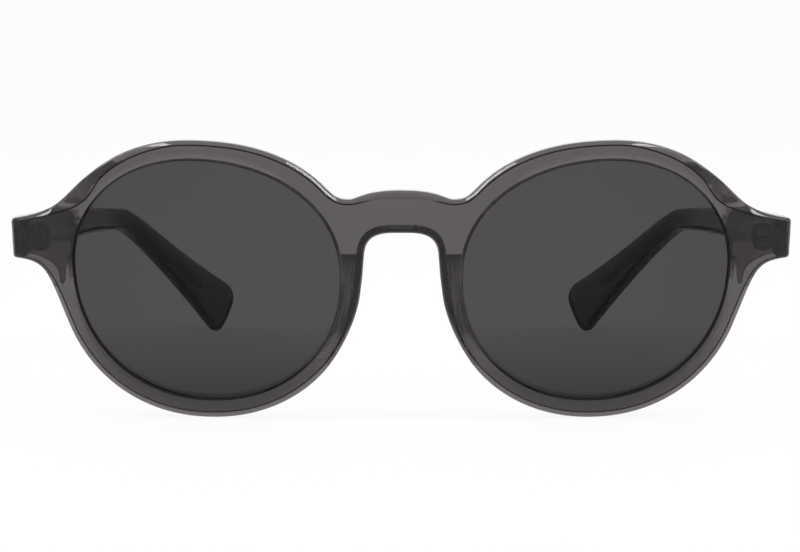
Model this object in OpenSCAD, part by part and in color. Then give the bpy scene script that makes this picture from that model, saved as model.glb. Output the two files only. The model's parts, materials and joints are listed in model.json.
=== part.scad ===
// Round acetate sunglasses, standing open on a table on their rims and temple tips.
// Millimetres. +X is to the viewer's right, +Y runs back along the temples, +Z is up.
// The front is milled from a sheet and bent round the face, the tinted lenses snap into a
// vee groove, the nose pads are glued on, and each temple turns on a five-knuckle hinge.

/* [Front] */
// Width over the two endpieces
front_w = 143; // [140:1:147]
// Thickness of the rims and the bridge, front to back
front_t = 4.2; // [4:0.1:4.8]
// Radius of the bend that wraps the front round the face
wrap_r = 400; // [340:10:600]
// Distance between the two lens openings
bridge_gap = 22.4; // [21.6:0.1:23.4]
// Rise of the bridge's crown over the lens centre line
bridge_rise = 14.5; // [13.8:0.1:15.2]
// Height of the bridge at its middle
bridge_h = 7.7; // [6.5:0.1:8.5]
// Fall of the crown to the dips where it meets the rims
crown_drop = 1.65; // [1.2:0.05:2.2]
// Width of the nose gap between the rims
gap_w = 14.4; // [13.6:0.1:14.8]

/* [Rims] */
// Width of the rim over the lens
rim_top = 3.7; // [3.2:0.1:4.4]
// Width of the rim under the lens
rim_low = 3.4; // [3:0.1:4.2]
// Width of the rim on the nose side, before the nose gap is cut
rim_nose = 3.4; // [3:0.1:3.8]
// Width of the rim on the temple side, before the endpiece joins it
rim_temple = 3.0; // [2.6:0.1:3.4]
// Width of the bevel along the front edge, under the lenses
edge_bevel = 1.05; // [0.7:0.05:1.3]
// Width of the bevel along the front edge, over the lenses
brow_bevel = 0.8; // [0.6:0.05:1.2]
// Depth of the bevel along the front edge
bevel_depth = 0.95; // [0.6:0.05:1.3]
// Width of the bevel over the bridge
bridge_bevel = 1.5; // [1:0.1:1.8]
// Width and depth of the small bevel along the back edge
back_bevel = 0.5; // [0.3:0.05:0.7]
// Width and depth of the larger back bevel under the bridge
arch_bevel = 1.4; // [1:0.1:1.6]
// How far the rim's side leans away from the nose between its face and its back
nose_splay = 1.5; // [1:0.1:1.8]
// Width of the land left of that side's upright edge at the face
nose_land = 0.4; // [0.3:0.1:0.8]
// Width of the small front bevel round the nose gap
nose_edge = 0.35; // [0.25:0.05:0.6]
// Width of the chamfer round the back of a lens opening
rear_bevel = 1.4; // [1:0.1:1.6]
// Depth of that chamfer
rear_depth = 0.7; // [0.4:0.05:0.8]

/* [Endpieces] */
// Height of the endpiece's tip
endpiece_h = 7.3; // [6.8:0.1:8]
// Thickness of the front at the endpiece, where the hinge is sunk
endpiece_t = 5.6; // [5.2:0.1:6.4]
// Rise of the hinge over the lens centre line
hinge_rise = 5.4; // [4.8:0.1:5.8]
// Radius of the endpiece's outer corners
tip_round = 0.7; // [0.5:0.1:1.2]
// Width of the bevel round the endpiece's end
tip_bevel = 0.5; // [0.4:0.05:0.7]
// How far the endpiece's end leans in from its top to its bottom
tip_lean = 0.3; // [0:0.1:0.8]
// How far the endpiece's thick back reaches in past the widest point of the lens opening
step_in = 0.4; // [0:0.1:0.8]
// Slope of the thick back from the hinge down to that step, in degrees
step_slope = 12; // [6:1:16]

/* [Lenses] */
// Half width of the opening, from the centre to the temple side
lens_temple_r = 23.9; // [23.2:0.1:24.6]
// Half width of the opening, from the centre to the nose side
lens_nose_r = 25.0; // [24.4:0.1:25.6]
// Height of the opening over its centre
lens_top_r = 19.75; // [19:0.05:20.5]
// Height of the opening under its centre
lens_low_r = 23.7; // [23:0.1:24.5]
// Squareness of the curve, 2 for a true ellipse
egg_n = 2.1; // [2:0.05:2.3]
// Fullness of the opening's upper temple corner
lens_skew = 0.063; // [0:0.001:0.08]
// Squareness of the rim's outer curve over the lens
rim_n = 2.24; // [2:0.01:2.4]
// Fullness of the rim's upper temple corner
rim_skew = 0.045; // [0:0.001:0.08]
// Thickness of a lens
lens_t = 2.0; // [1.8:0.1:2.3]
// Radius of the lens's front surface
lens_base_r = 131; // [120:1:200]
// How far the middle of a lens stands forward of the rim
lens_proud = 0.5; // [0:0.1:0.9]
// Height of the vee that holds a lens in its groove
vee_h = 0.4; // [0.3:0.05:0.6]
// Half width of the vee at the lens's edge
vee_w = 0.5; // [0.4:0.05:0.7]
// Gap all round a lens in its opening
lens_gap = 0.05; // [0.03:0.01:0.1]

/* [Nose pads] */
// Height of a nose pad
pad_h = 19.4; // [17:0.1:20]
// Height of a pad's sloped top end
pad_cap = 1.6; // [1.2:0.1:2.4]
// How far a pad's ridge stands back from the front
pad_depth = 2.7; // [2:0.1:3.4]
// Thickness of a pad beside the lens
pad_edge = 1.1; // [0.8:0.1:1.5]
// How far a pad's ridge is from the nose side of the rim's face
pad_splay = 2.5; // [2:0.1:3]
// Film of glue between a pad and the front
glue_gap = 0.04; // [0.02:0.01:0.1]

/* [Hinges] */
// Height of the plate sunk in the endpiece
plate_h = 5.2; // [5:0.1:5.6]
// Width of the plate sunk in the endpiece
plate_w = 3.9; // [3.7:0.1:4.2]
// Thickness of both hinge plates
plate_t = 0.8; // [0.6:0.05:0.9]
// Size of the clipped corners of the plate sunk in the endpiece
plate_clip = 0.9; // [0.7:0.1:1.1]
// Length of the two prongs that grip inside the endpiece
prong_l = 2.2; // [1.6:0.1:2.6]
// Width of a prong
prong_w = 1.75; // [1.5:0.05:1.9]
// Height of a prong
prong_h = 1.3; // [1:0.05:1.5]
// Distance between the two prongs, middle to middle
prong_pitch = 1.95; // [1.8:0.05:2.4]
// Length of the hinge plate sunk in the temple
leaf_l = 8.5; // [7.5:0.5:10]
// Height of one knuckle
knuckle_h = 0.85; // [0.75:0.05:0.95]
// Gap between neighbouring knuckles
knuckle_gap = 0.05; // [0.03:0.01:0.08]
// Outer radius of the knuckles
knuckle_r = 1.15; // [1.05:0.05:1.25]
// Radius of the screw's shank
screw_r = 0.6; // [0.5:0.02:0.65]
// Running clearance of the screw in the knuckles
screw_gap = 0.04; // [0.02:0.01:0.08]
// Radius of the screw's head
head_r = 1.0; // [0.9:0.05:1.1]
// Height of the screw's head
head_h = 0.45; // [0.4:0.05:0.6]
// Width of the slot in the screw's head
slot_w = 0.28; // [0.2:0.02:0.35]
// How far the knuckles stand clear of the endpiece's back
knuckle_clear = 0.15; // [0.1:0.01:0.3]
// Gap between each metal plate and the pocket it is sunk in
seat_gap = 0.04; // [0.02:0.01:0.08]
// How far the screw's axis stands inboard of the temple's inner face
hinge_offset = 1.7; // [1.6:0.05:1.9]

/* [Temples] */
// Thickness of a temple
temple_t = 3.6; // [3.4:0.1:4]
// Length from the hinge end to where the drop over the ear starts
bend_l = 88.4; // [84:0.2:94]
// Further length, measured level, from there to the end of the tip
tip_l = 39.6; // [36:0.2:42]
// Length over which the bend is eased
bend_soft = 7.3; // [5:0.1:9]
// How far before the tip's end, and how far above it, the drop aims
drop_run = 17.6; // [15:0.1:20]
drop_rise = 14.9; // [13:0.1:17]
// Fall of the temple's middle line from the hinge to the start of the drop
bend_fall = 4.4; // [3.5:0.1:5]
// Height of a temple where the drop starts
temple_h_bend = 4.5; // [4.2:0.1:5.4]
// Height of the paddle at the tip
paddle_h = 11.4; // [10:0.1:12]
// How late the temple widens towards its tip
paddle_late = 3.3; // [2:0.1:4]
// Radius of the tip's upper corner
tip_top_r = 3.6; // [2.5:0.1:4.5]
// Radius of the tip's lower corner
tip_low_r = 1.4; // [1:0.1:2.5]
// Angle at which a temple runs in towards the head
toe_in = 5.4; // [4:0.1:6.5]
// Radius of the inward curl behind the ear
curl_r = 88; // [80:1:120]
// Bevel along the temple's two inner edges, measured up the inner face
inner_bevel = 1.4; // [1:0.1:1.6]
// Gap between a temple's end and the endpiece when open
butt_gap = 0.06; // [0.04:0.01:0.15]
// Height of the metal core wire at its front
core_h = 2.2; // [1.8:0.1:2.6]
// Thickness of the metal core wire
core_t = 1.1; // [0.8:0.1:1.3]

/* [Hidden] */
$fn = 48;

acetate = "#6b6560";
tint = "#2e2e30";
metal = "#b9bcc0";

// Steps round a lens opening, round the bent front's full circle, and round a tip's corner
lens_steps = 72;
wrap_fn = 720;
tip_steps = 2;

// Places that follow from the sizes above
lens_cx = bridge_gap / 2 + lens_nose_r;
lens_cz = max([for (a = [255:285]) -rim_r(a) * sin(a)]);
hinge_z = lens_cz + hinge_rise;
bridge_top = lens_cz + bridge_rise;
bridge_low = bridge_top - bridge_h;
front_top = lens_cz + lens_top_r + rim_top;
half_w = front_w / 2;
lens_turn = asin(lens_cx / wrap_r);
butt_y = front_y(half_w) + endpiece_t;
pin_x = half_w - temple_t - hinge_offset;
pin_y = butt_y + knuckle_r + knuckle_clear;
pitch = knuckle_h + knuckle_gap;
bend_y = butt_y + bend_l;
tip_y = bend_y + tip_l;

// Depth of the front's face and of its back at a distance x from the middle
function front_y(x) = wrap_r - sqrt(wrap_r * wrap_r - x * x);
function back_y(x) = wrap_r - sqrt(pow(wrap_r - front_t, 2) - x * x);

// Radius of an egg curve with its own half sizes on four sides, and its own squareness
// over its centre
function egg(a, temple, nose, top, low, skew, top_n) =
    let (c = cos(a), s = sin(a), u = c > 0 ? temple : nose, v = s > 0 ? top : low,
         n = s > 0 ? top_n : egg_n)
    pow(pow(abs(c) / u, n) + pow(abs(s) / v, n), -1 / n) * (1 + skew * c * s);

// Point of the lens opening, grown by g, about its own centre
function lens_at(a, g = 0) =
    egg(a, lens_temple_r + g, lens_nose_r + g, lens_top_r + g, lens_low_r + g, lens_skew, egg_n)
    * [cos(a), sin(a)];

// Point of the rim's outer edge, with the bevels that it carries: the width in front, and the
// width and depth behind
function rim_r(a) =
    egg(a, lens_temple_r + rim_temple, lens_nose_r + rim_nose, lens_top_r + rim_top,
        lens_low_r + rim_low, rim_skew, rim_n);
function rim_at(a) =
    concat([lens_cx, lens_cz] + rim_r(a) * [cos(a), sin(a)],
           [edge_bevel + (brow_bevel - edge_bevel) * (1 + sin(a)) / 2, back_bevel, back_bevel]);
function unit(v) = v / norm(v);
// Direction in which the outline runs clockwise past the rim's point at angle a
function rim_run(a) =
    let (d = unit([for (i = [0:1]) rim_at(a - 1)[i] - rim_at(a + 1)[i]])) [d[0], d[1], 0, 0, 0];

// Point at t of the cubic curve from a to d, and n points of it without its end
function cubic(a, b, c, d, t) =
    let (s = 1 - t) s * s * s * a + 3 * s * s * t * b + 3 * s * t * t * c + t * t * t * d;
function curve(a, b, c, d, n) = [for (i = [0:n - 1]) cubic(a, b, c, d, i / n)];

// Right half of the front's outline, clockwise from the top of the bridge.
// Each point is [x, z, front bevel, back bevel, depth of the back bevel].
shoulder_a = 138;
brow_a = 48;
cheek_a = -22;
nose_a = -138;
crown = [0, bridge_top, bridge_bevel, back_bevel, back_bevel];
dip = [bridge_gap / 2 - 1.6, bridge_top - crown_drop, brow_bevel, back_bevel, back_bevel];
tip_top = [half_w - tip_round, hinge_z + endpiece_h / 2, tip_bevel, 0, 0];
tip_low = [half_w - tip_lean - tip_round, hinge_z - endpiece_h / 2, tip_bevel, 0, 0];
// Widths left for the curves that join the rim to the tip, over and under the endpiece
brow_w = tip_top[0] - rim_at(brow_a)[0];
cheek_w = tip_low[0] - rim_at(cheek_a)[0];
gap_side = [gap_w / 2 + 0.15, lens_cz - 3.6, nose_edge, nose_splay, front_t - nose_land];
gap_top = [gap_w / 2 - 0.45, bridge_low - 4.1, nose_edge, arch_bevel, (front_t + arch_bevel) / 2];
gap_mid = [1.5, bridge_low, nose_edge, arch_bevel, arch_bevel];
half_outline = concat(
    curve(crown, crown + [7, 0, 0, 0, 0], dip - [1.7, 0, 0, 0, 0], dip, 7),
    curve(dip, dip + [3.2, 0, 0, 0, 0], rim_at(shoulder_a) - 5 * rim_run(shoulder_a),
          rim_at(shoulder_a), 5),
    [for (i = [0:15]) rim_at(shoulder_a + (brow_a - shoulder_a) * i / 16)],
    curve(rim_at(brow_a), rim_at(brow_a) + 0.62 * brow_w * rim_run(brow_a),
          tip_top + [-0.6 * brow_w, 0.1 * brow_w, 0, 0, 0], tip_top, 9),
    [for (i = [tip_steps:-1:0]) tip_corner(i, tip_top - [0, tip_round, 0, 0, 0])],
    [for (i = [0:tip_steps]) tip_corner(-i, tip_low + [0, tip_round, 0, 0, 0])],
    curve(tip_low - [0.2, 0.06, 0, 0, 0], tip_low - [0.6 * cheek_w, 0.7, 0, 0, 0],
          rim_at(cheek_a) - 1.03 * cheek_w * rim_run(cheek_a) + [0.2, 0, 0, 0, 0],
          rim_at(cheek_a), 9),
    [for (i = [0:19]) rim_at(cheek_a + (nose_a - cheek_a) * i / 20)],
    curve(rim_at(nose_a), rim_at(nose_a) + 5 * rim_run(nose_a) - [0, 0, nose_edge, 0, 0],
          gap_side + [0.6, -5.5, 0, 0, 0], gap_side, 8),
    curve(gap_side, gap_side + [-0.4, 3, 0, 0, 0], gap_top - [-0.2, 1.5, 0, 0, 0], gap_top, 5),
    curve(gap_top, gap_top + [-0.15, 3, 0, 0, 0], gap_mid + [3.3, 0, 0, 0, 0], gap_mid, 7),
    [gap_mid]);
function tip_corner(i, c) =
    let (a = 90 * i / tip_steps) c + tip_round * [cos(a), sin(a), 0, 0, 0];
function flip(p) = [-p[0], p[1], p[2], p[3], p[4]];
half_n = len(half_outline);
outline = concat(half_outline, [for (i = [half_n - 1:-1:1]) flip(half_outline[i])]);
outline_n = len(outline);

// Closed skin over a list of rings of equal length, with flat ends
module skin(rings) {
    n = len(rings[0]);
    m = len(rings);
    sides = [for (j = [0:m - 2]) for (i = [0:n - 1]) let (k = (i + 1) % n)
        [j * n + i, j * n + k, (j + 1) * n + k, (j + 1) * n + i]];
    first = [for (i = [n - 1:-1:0]) i];
    last = [for (i = [0:n - 1]) (m - 1) * n + i];
    polyhedron([for (r = rings) each r], concat(sides, [first, last]));
}

// Everything below is drawn with the front's face at y = 0, then moved so that the
// origin is under the middle of the whole pair
module place() {
    translate([0, -depth / 2, 0]) children();
}
module on_side(side) {
    place() mirror([side < 0 ? 1 : 0, 0, 0]) children();
}

// Right lens's own frame: x and z in the lens, y back along its axis
module lens_frame() {
    translate([lens_cx, front_y(lens_cx), lens_cz]) rotate([0, 0, lens_turn]) children();
}

// Depth of the middle of a lens's edge, which the vee and its groove follow
function edge_y(p) =
    lens_base_r - sqrt(lens_base_r * lens_base_r - p * p) + lens_t / 2 - lens_proud;
function lens_ring(g, dy) = [for (i = [0:lens_steps - 1])
    let (a = 360 * i / lens_steps, p = lens_at(a, g), e = lens_at(a))
    [p[0], edge_y(e) + dy, p[1]]];
function flat_ring(g, y) = [for (p = lens_ring(g, 0)) [p[0], y, p[2]]];

// Straight bar of the lens's outline with its vee, grown by g for the opening and its groove.
// It runs right through the front, well past its face and its back.
bar_from = -1.4 * front_t;
bar_to = 5.7 * front_t;
module lens_bar(g) {
    skin([flat_ring(g, bar_from), lens_ring(g, -vee_w - g), lens_ring(vee_h + g, 0),
          lens_ring(g, vee_w + g), flat_ring(g, bar_to)]);
}

// Front outline as a straight bar along Y
module outline_bar(from, to) {
    translate([0, to, 0]) rotate([90, 0, 0]) linear_extrude(to - from)
        polygon([for (p = outline) [p[0], p[1]]]);
}
module bend_drum(r) {
    translate([0, wrap_r, -5]) cylinder(r = r, h = front_top + 10, $fn = wrap_fn);
}

// Thick back of each endpiece, which carries the hinge and ends in a step beside the lens.
// Its outline keeps to the width that is left between that step and the tip.
step_x = lens_cx + lens_temple_r - step_in;
step_w = half_w - step_x;
step_top = hinge_z + endpiece_h / 2 + 0.1;
step_low = hinge_z - endpiece_h / 2;
step_corner = [step_x + 0.09 * step_w, step_top + 1.3];
step_foot = lens_at(-5, rim_temple * 0.57) + [lens_cx, lens_cz];
step_end = [half_w - 0.25 * step_w, step_low + 0.9];
step_outline = concat(
    [[half_w + 1, step_top - 0.1]],
    curve([half_w - 0.42 * step_w, step_top], [step_corner[0] + 0.25 * step_w, step_top + 0.7],
          step_corner + [0.12 * step_w, -0.25], step_corner, 5),
    curve(step_corner, step_corner - [0.07 * step_w, 0.15], [step_x, step_top + 0.7],
          [step_x, step_top - 0.6], 4),
    [[step_x, hinge_z - 1.6], step_foot + [-0.2, 2.4]],
    curve(step_foot, step_foot + [0.1, -1.1], step_foot + [0.8, -1.3],
          step_foot + [0.9, 0.3], 4),
    curve(step_foot + [0.9, 0.3], step_foot + [1, 2.4],
          step_end - [0.35 * step_w, 0.9], step_end, 6),
    [step_end, step_end + [0.5, -0.7], [step_end[0] + 0.6, step_low - 1],
     [half_w + 1, step_low - 1]]);
module thick_back() {
    flat_x = half_w - 0.71 * step_w;
    fall = tan(step_slope) * (flat_x - step_x + 1);
    intersection() {
        translate([0, butt_y + 1, 0]) rotate([90, 0, 0]) linear_extrude(butt_y + 1)
            polygon(step_outline);
        linear_extrude(front_top)
            polygon([[step_x - 1, 0], [half_w + 2, 0], [half_w + 2, butt_y], [flat_x, butt_y],
                     [step_x - 1, butt_y - fall]]);
    }
}

// Chamfer round the back of a lens opening. It fades out where the nose pad is glued on.
rear_mid_a = 182;
rear_off_a = 34;
rear_fade_a = 26;
rear_sink = 0.3;
function rear_d(a) =
    let (t = min(1, max(0, (abs(a - rear_mid_a) - rear_off_a) / rear_fade_a)))
    (rear_depth + rear_sink) * t * t * (3 - 2 * t) - rear_sink;
function rear_ring(dy) = [for (i = [0:lens_steps - 1])
    let (a = 360 * i / lens_steps, e = lens_at(a),
         p = lens_at(a, (dy + rear_d(a)) * rear_bevel / rear_depth))
    [p[0], back_y(e[0]) + dy, p[1]]];
module rear_chamfer() {
    skin([rear_ring(-2 * rear_depth), rear_ring(1)]);
}

// Section of the cutter for a bevel at the middle of one side of the outline's polygon, along
// the front for way -1 or along the back for way 1. The cutter reaches a little past both
// edges of the bevel, and well clear of the front outside them.
past_face = 0.13;
past_edge = 0.6;
clear_out = 2;
clear_off = 1.5;
function knife(i, way) =
    let (s = outline[i % outline_n], e = outline[(i + 1) % outline_n], p = (s + e) / 2,
         n = unit([s[1] - e[1], e[0] - s[0]]), b = way < 0 ? p[2] : p[3],
         d = way < 0 ? bevel_depth * sqrt(b / edge_bevel) : p[4],
         a = [p[0] - n[0] * b, p[1] - n[1] * b],
         from = [a[0], face_y(a[0], way), a[1]],
         to = [p[0], face_y(p[0], way) - way * d, p[1]])
    [from - past_face * (to - from), to + past_edge * (to - from),
     [p[0] + n[0] * clear_out, face_y(p[0], way) + way * clear_off, p[1] + n[1] * clear_out]];
function face_y(x, way) = way < 0 ? front_y(x) : back_y(x);
function knives(from, to, way) = [for (i = [from:to]) knife(i + outline_n, way)];
function turned(rings) = [for (r = rings) [r[0], r[2], r[1]]];
// The front bevel runs all the way round, and the back one stops short of the two tips
blunt = [for (i = [0:half_n - 1]) if (half_outline[i][3] <= 0.1) i];
module edge_bevels() {
    ring = turned(knives(0, outline_n - 1, -1));
    polyhedron([for (r = ring) each r], [for (j = [0:outline_n - 1]) for (k = [0:2])
        [j * 3 + k, j * 3 + (k + 1) % 3, (j + 1) % outline_n * 3 + (k + 1) % 3,
         (j + 1) % outline_n * 3 + k]]);
    skin(knives(-min(blunt), min(blunt) - 1, 1));
    skin(knives(max(blunt), outline_n - max(blunt) - 1, 1));
}

// Sunk hinge plate with clipped corners and its prongs, grown by g for the pocket
module front_plate(g = 0) {
    c = plate_clip;
    w = plate_w / 2 + g;
    h = plate_h / 2 + g;
    translate([pin_x, butt_y + g * 2, hinge_z]) rotate([90, 0, 0]) linear_extrude(plate_t + g * 3)
        polygon([[-w, -h + c], [-w + c, -h], [w - c, -h], [w, -h + c],
                 [w, h - c], [w - c, h], [-w + c, h], [-w, h - c]]);
    for (s = [-1, 1])
        translate([pin_x - prong_w / 2 - g, butt_y - plate_t - prong_l - g,
                   hinge_z + s * prong_pitch / 2 - prong_h / 2 - g])
            cube([prong_w + 2 * g, prong_l + plate_t / 2 + g, prong_h + 2 * g]);
}

module front_frame() {
    color(acetate) place() difference() {
        intersection() {
            outline_bar(-1, butt_y + 1);
            bend_drum(wrap_r);
            union() {
                difference() {
                    translate([-half_w - 1, -1, -1]) cube([front_w + 2, 2 * butt_y, front_top + 2]);
                    bend_drum(wrap_r - front_t);
                    for (m = [0, 1]) mirror([m, 0, 0]) lens_frame() rear_chamfer();
                }
                for (m = [0, 1]) mirror([m, 0, 0]) thick_back();
            }
        }
        edge_bevels();
        for (m = [0, 1]) mirror([m, 0, 0]) {
            lens_frame() lens_bar(0);
            front_plate(seat_gap);
        }
    }
}

// Tinted lens: two true spheres inside a rim with a vee
module lens(side) {
    color(tint, 0.6) on_side(side) lens_frame() intersection() {
        lens_bar(-lens_gap);
        difference() {
            translate([0, lens_base_r - lens_proud, 0]) sphere(r = lens_base_r, $fn = 200);
            translate([0, lens_base_r - lens_proud, 0]) sphere(r = lens_base_r - lens_t, $fn = 200);
        }
    }
}

// Glued nose pad, lofted from top to bottom. Its nose side carries on the splay of the rim's
// side up to a ridge, and its back falls from the ridge towards the lens.
pad_top = lens_cz + 2.75;
cap_t = pad_cap / pad_h;
pad_stops = concat([0], [for (i = [0:11]) cap_t + (1 - cap_t) * i / 11]);
// Value k of the outline on the nose side of the rim, at height z. The corner under the bridge
// is left out.
nose_skip = 2;
function nose_side(z, k) =
    let (run = [for (p = half_outline)
                if (p[0] < lens_cx - 0.72 * lens_nose_r && p[1] < bridge_low - nose_skip) p])
    lookup(z, [for (p = run) [p[1], p[k]]]);
// Nose side of the lens opening at height z and depth y
function seat_x(z, y) =
    let (h = z - lens_cz, side = [for (a = [100:5:260]) lens_at(a)])
    lens_cx + lookup(h, [for (i = [len(side) - 1:-1:0]) [side[i][1], side[i][0]]])
    - (y - front_y(lens_cx)) * tan(lens_turn);
function pad_section(t) =
    let (z = pad_top - pad_h * t,
         d = pad_depth * max(0.06, min(t / cap_t, t < 0.4 ? 1 : 1 - pow((t - 0.4) / 0.62, 2))),
         side = nose_side(z, 0), in = side + nose_side(z, 3), out = seat_x(z, front_t + 1) - 0.15,
         ridge = side + pad_splay * (1 - pow((t - 0.38) / 0.6, 2)) - in,
         w = out - in, r = max(0.12, min(0.5, ridge / w)), e = pad_edge / pad_depth)
    [for (q = [[0, 0], [0.45 * r, 0.5], [0.85 * r, 0.86], [r + 0.08, 0.98], [r + 0.2, 0.93],
               [0.84, e + 0.08], [0.94, e * 0.85], [1, e * 0.45], [1, 0]])
        [in + q[0] * w, back_y(out) + glue_gap + q[1] * d, z]];
module nose_pad(side) {
    color(acetate) on_side(side)
        skin([for (i = [len(pad_stops) - 1:-1:0]) pad_section(pad_stops[i])]);
}

// Hinge leaf sunk in the endpiece, with knuckles two and four
module barrel(level) {
    translate([pin_x, pin_y, hinge_z + level * pitch - knuckle_h / 2]) children();
}
module front_hinge(side) {
    color(metal) on_side(side) difference() {
        union() {
            front_plate();
            for (level = [-1, 1]) barrel(level) {
                cylinder(r = knuckle_r, h = knuckle_h);
                translate([-knuckle_r, butt_y - pin_y - plate_t / 2, 0])
                    cube([2 * knuckle_r, pin_y - butt_y + plate_t / 2, knuckle_h]);
            }
        }
        barrel(-3) cylinder(r = screw_r + screw_gap, h = 6 * pitch);
    }
}

// Hinge leaf sunk in the temple's inner face, with knuckles one, three and five
leaf_x = half_w - temple_t;
leaf_h = 4 * pitch + knuckle_h;
module temple_leaf(g = 0) {
    translate([leaf_x, butt_y, hinge_z]) rotate([0, 0, toe_in])
        translate([-g, pin_y - knuckle_r - butt_y - g, -leaf_h / 2 - g])
            cube([plate_t + 2 * g, leaf_l + 2 * g, leaf_h + 2 * g]);
}
module temple_hinge(side) {
    color(metal) on_side(side) difference() {
        union() {
            temple_leaf();
            for (level = [-2, 0, 2]) barrel(level) {
                cylinder(r = knuckle_r, h = knuckle_h);
                translate([0, -knuckle_r, 0])
                    cube([leaf_x - pin_x + plate_t / 2, 2 * knuckle_r, knuckle_h]);
            }
        }
        barrel(-3) cylinder(r = screw_r + screw_gap, h = 6 * pitch);
    }
}

// Slotted screw that is the hinge's pin
module hinge_screw(side) {
    top = hinge_z + leaf_h / 2;
    color(metal) on_side(side) difference() {
        union() {
            translate([pin_x, pin_y, hinge_z - leaf_h / 2]) cylinder(r = screw_r, h = leaf_h + 0.1);
            translate([pin_x, pin_y, top + 0.02]) cylinder(r = head_r, h = head_h);
        }
        translate([pin_x - head_r - 1, pin_y - slot_w / 2, top + 0.02 + head_h / 2])
            cube([2 * head_r + 2, slot_w, head_h]);
    }
}

// Middle line of the right temple as [x, y, z] at t from 0 at the hinge end to 1 at the tip
bend_z = hinge_z - bend_fall;
tip_z = paddle_h * 0.36;
bend_t = 0.62;
function line_yz(t) = t < bend_t
    ? let (u = t / bend_t)
      [butt_y + butt_gap + (bend_l - butt_gap) * u, hinge_z - bend_fall * u * (1 + 2 * u) / 3]
    : cubic([bend_y, bend_z], [bend_y + bend_soft, bend_z - bend_soft * bend_fall / bend_l * 5 / 3],
            [tip_y - drop_run, tip_z + drop_rise], [tip_y, tip_z], (t - bend_t) / (1 - bend_t));
curl_from = bend_y - 0.43 * tip_l;
function line_x(y) =
    half_w - temple_t / 2 - (y - butt_y) * tan(toe_in)
    - (y > curl_from ? pow(y - curl_from, 2) / (2 * curl_r) : 0);
function line(t) = let (q = line_yz(t)) [line_x(q[0]), q[0], q[1]];

// Height of the temple along its length
function temple_height(t) =
    let (u = t / bend_t, v = (t - bend_t) / (1 - bend_t))
    t < bend_t ? endpiece_h + (temple_h_bend - endpiece_h) * pow(u, 1.1)
    : temple_h_bend + (paddle_h - temple_h_bend) * pow(v, paddle_late);
function along(t) = unit(line(t + 0.004) - line(t - 0.004));
function across(t) = let (d = along(t)) unit([d[1], -d[0], 0]);
function upward(t) = cross(across(t), along(t));

// Section of the temple in [across, up], bevelled on its inner side, for a width w, with
// its top and its bottom at the distances top and low from the middle line
function temple_shape(w, top, low) =
    let (a = w / 2, r = 0.9, v = min(inner_bevel, (top + low) * 0.22), s = w * 0.3)
    [[a, top - r], [a - r * 0.3, top - r * 0.3], [a - r, top], [-a + s * 1.3, top],
     [-a + s * 0.4, top - v * 0.55], [-a, top - v - 0.3],
     [-a, v + 0.3 - low], [-a + s * 0.4, v * 0.55 - low], [-a + s * 1.3, -low],
     [a - r, -low], [a - r * 0.3, r * 0.3 - low], [a, r - low]];
// Distance left to the tip's end, and how much a corner of radius r takes off there
function to_end(t) = norm(line(1) - line(t));
function taken(t, r) = let (e = min(to_end(t), r)) r - sqrt(r * r - pow(r - e, 2));
function temple_ring(t) =
    let (c = line(t), u = t == 0 ? [1, 0, 0] : across(t), v = t == 0 ? [0, 0, 1] : upward(t),
         b = temple_height(t) / 2)
    [for (q = temple_shape(temple_t - taken(t, 1) * 1.2, b - taken(t, tip_top_r),
                           b - taken(t, tip_low_r))) c + q[0] * u + q[1] * v];
temple_stops = concat([for (i = [0:9]) bend_t * i / 10], [for (i = [0:5]) bend_t + 0.1 * i / 5],
                      [for (i = [1:8]) bend_t + 0.1 + 0.25 * i / 8],
                      [0.981, 0.989, 0.994, 0.998, 1]);
function temple_rings() = [for (t = temple_stops) temple_ring(t)];
depth = max([for (ring = temple_rings()) for (p = ring) p[1]]);

// Flat metal core inside the temple, grown by g for its channel
core_from = 0.006;
core_to = 0.94;
core_stops = 18;
function core_ring(t, g) =
    let (c = line(t), u = across(t), v = upward(t), w = core_t / 2 + g,
         h = core_h / 2 * (1 - 0.3 * t) + g, k = 0.3)
    [for (q = [[w, h - k], [w - k, h], [k - w, h], [-w, h - k],
               [-w, k - h], [k - w, -h], [w - k, -h], [w, k - h]]) c + q[0] * u + q[1] * v];
function core_rings(g, before, after) = [for (i = [0:core_stops])
    core_ring(core_from - before + (core_to + after - core_from + before) * i / core_stops, g)];
module core_wire(side) {
    color(metal) on_side(side) skin(core_rings(0, 0, 0));
}

module temple(side) {
    color(acetate) on_side(side) difference() {
        skin(temple_rings());
        skin(core_rings(seat_gap, core_from + 0.01, 0.0004));
        temple_leaf(seat_gap);
    }
}

front_frame();
lens(-1);  // left_lens
lens(1);  // right_lens
nose_pad(-1);  // left_nose_pad
nose_pad(1);  // right_nose_pad
front_hinge(-1);  // left_front_hinge
front_hinge(1);  // right_front_hinge
temple_hinge(-1);  // left_temple_hinge
temple_hinge(1);  // right_temple_hinge
hinge_screw(-1);  // left_hinge_screw
hinge_screw(1);  // right_hinge_screw
core_wire(-1);  // left_core_wire
core_wire(1);  // right_core_wire
temple(-1);  // left_temple
temple(1);  // right_temple
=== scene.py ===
"""Round acetate sunglasses standing open on a pale table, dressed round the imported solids.

Every size is in millimetres and repeats the solids' own sizes. Meshes are made in the solids'
frame: +X to the viewer's right, +Y back along the temples, +Z up.
"""

from __future__ import annotations

import json
import logging
import math
from contextlib import contextmanager
from dataclasses import dataclass, field
from enum import Enum
from functools import partial
from types import SimpleNamespace
from typing import Any, Callable, Iterable, Iterator, Sequence

import bmesh
import bpy
import numpy as np
from mathutils import Matrix, Vector
from mathutils.geometry import delaunay_2d_cdt

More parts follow.
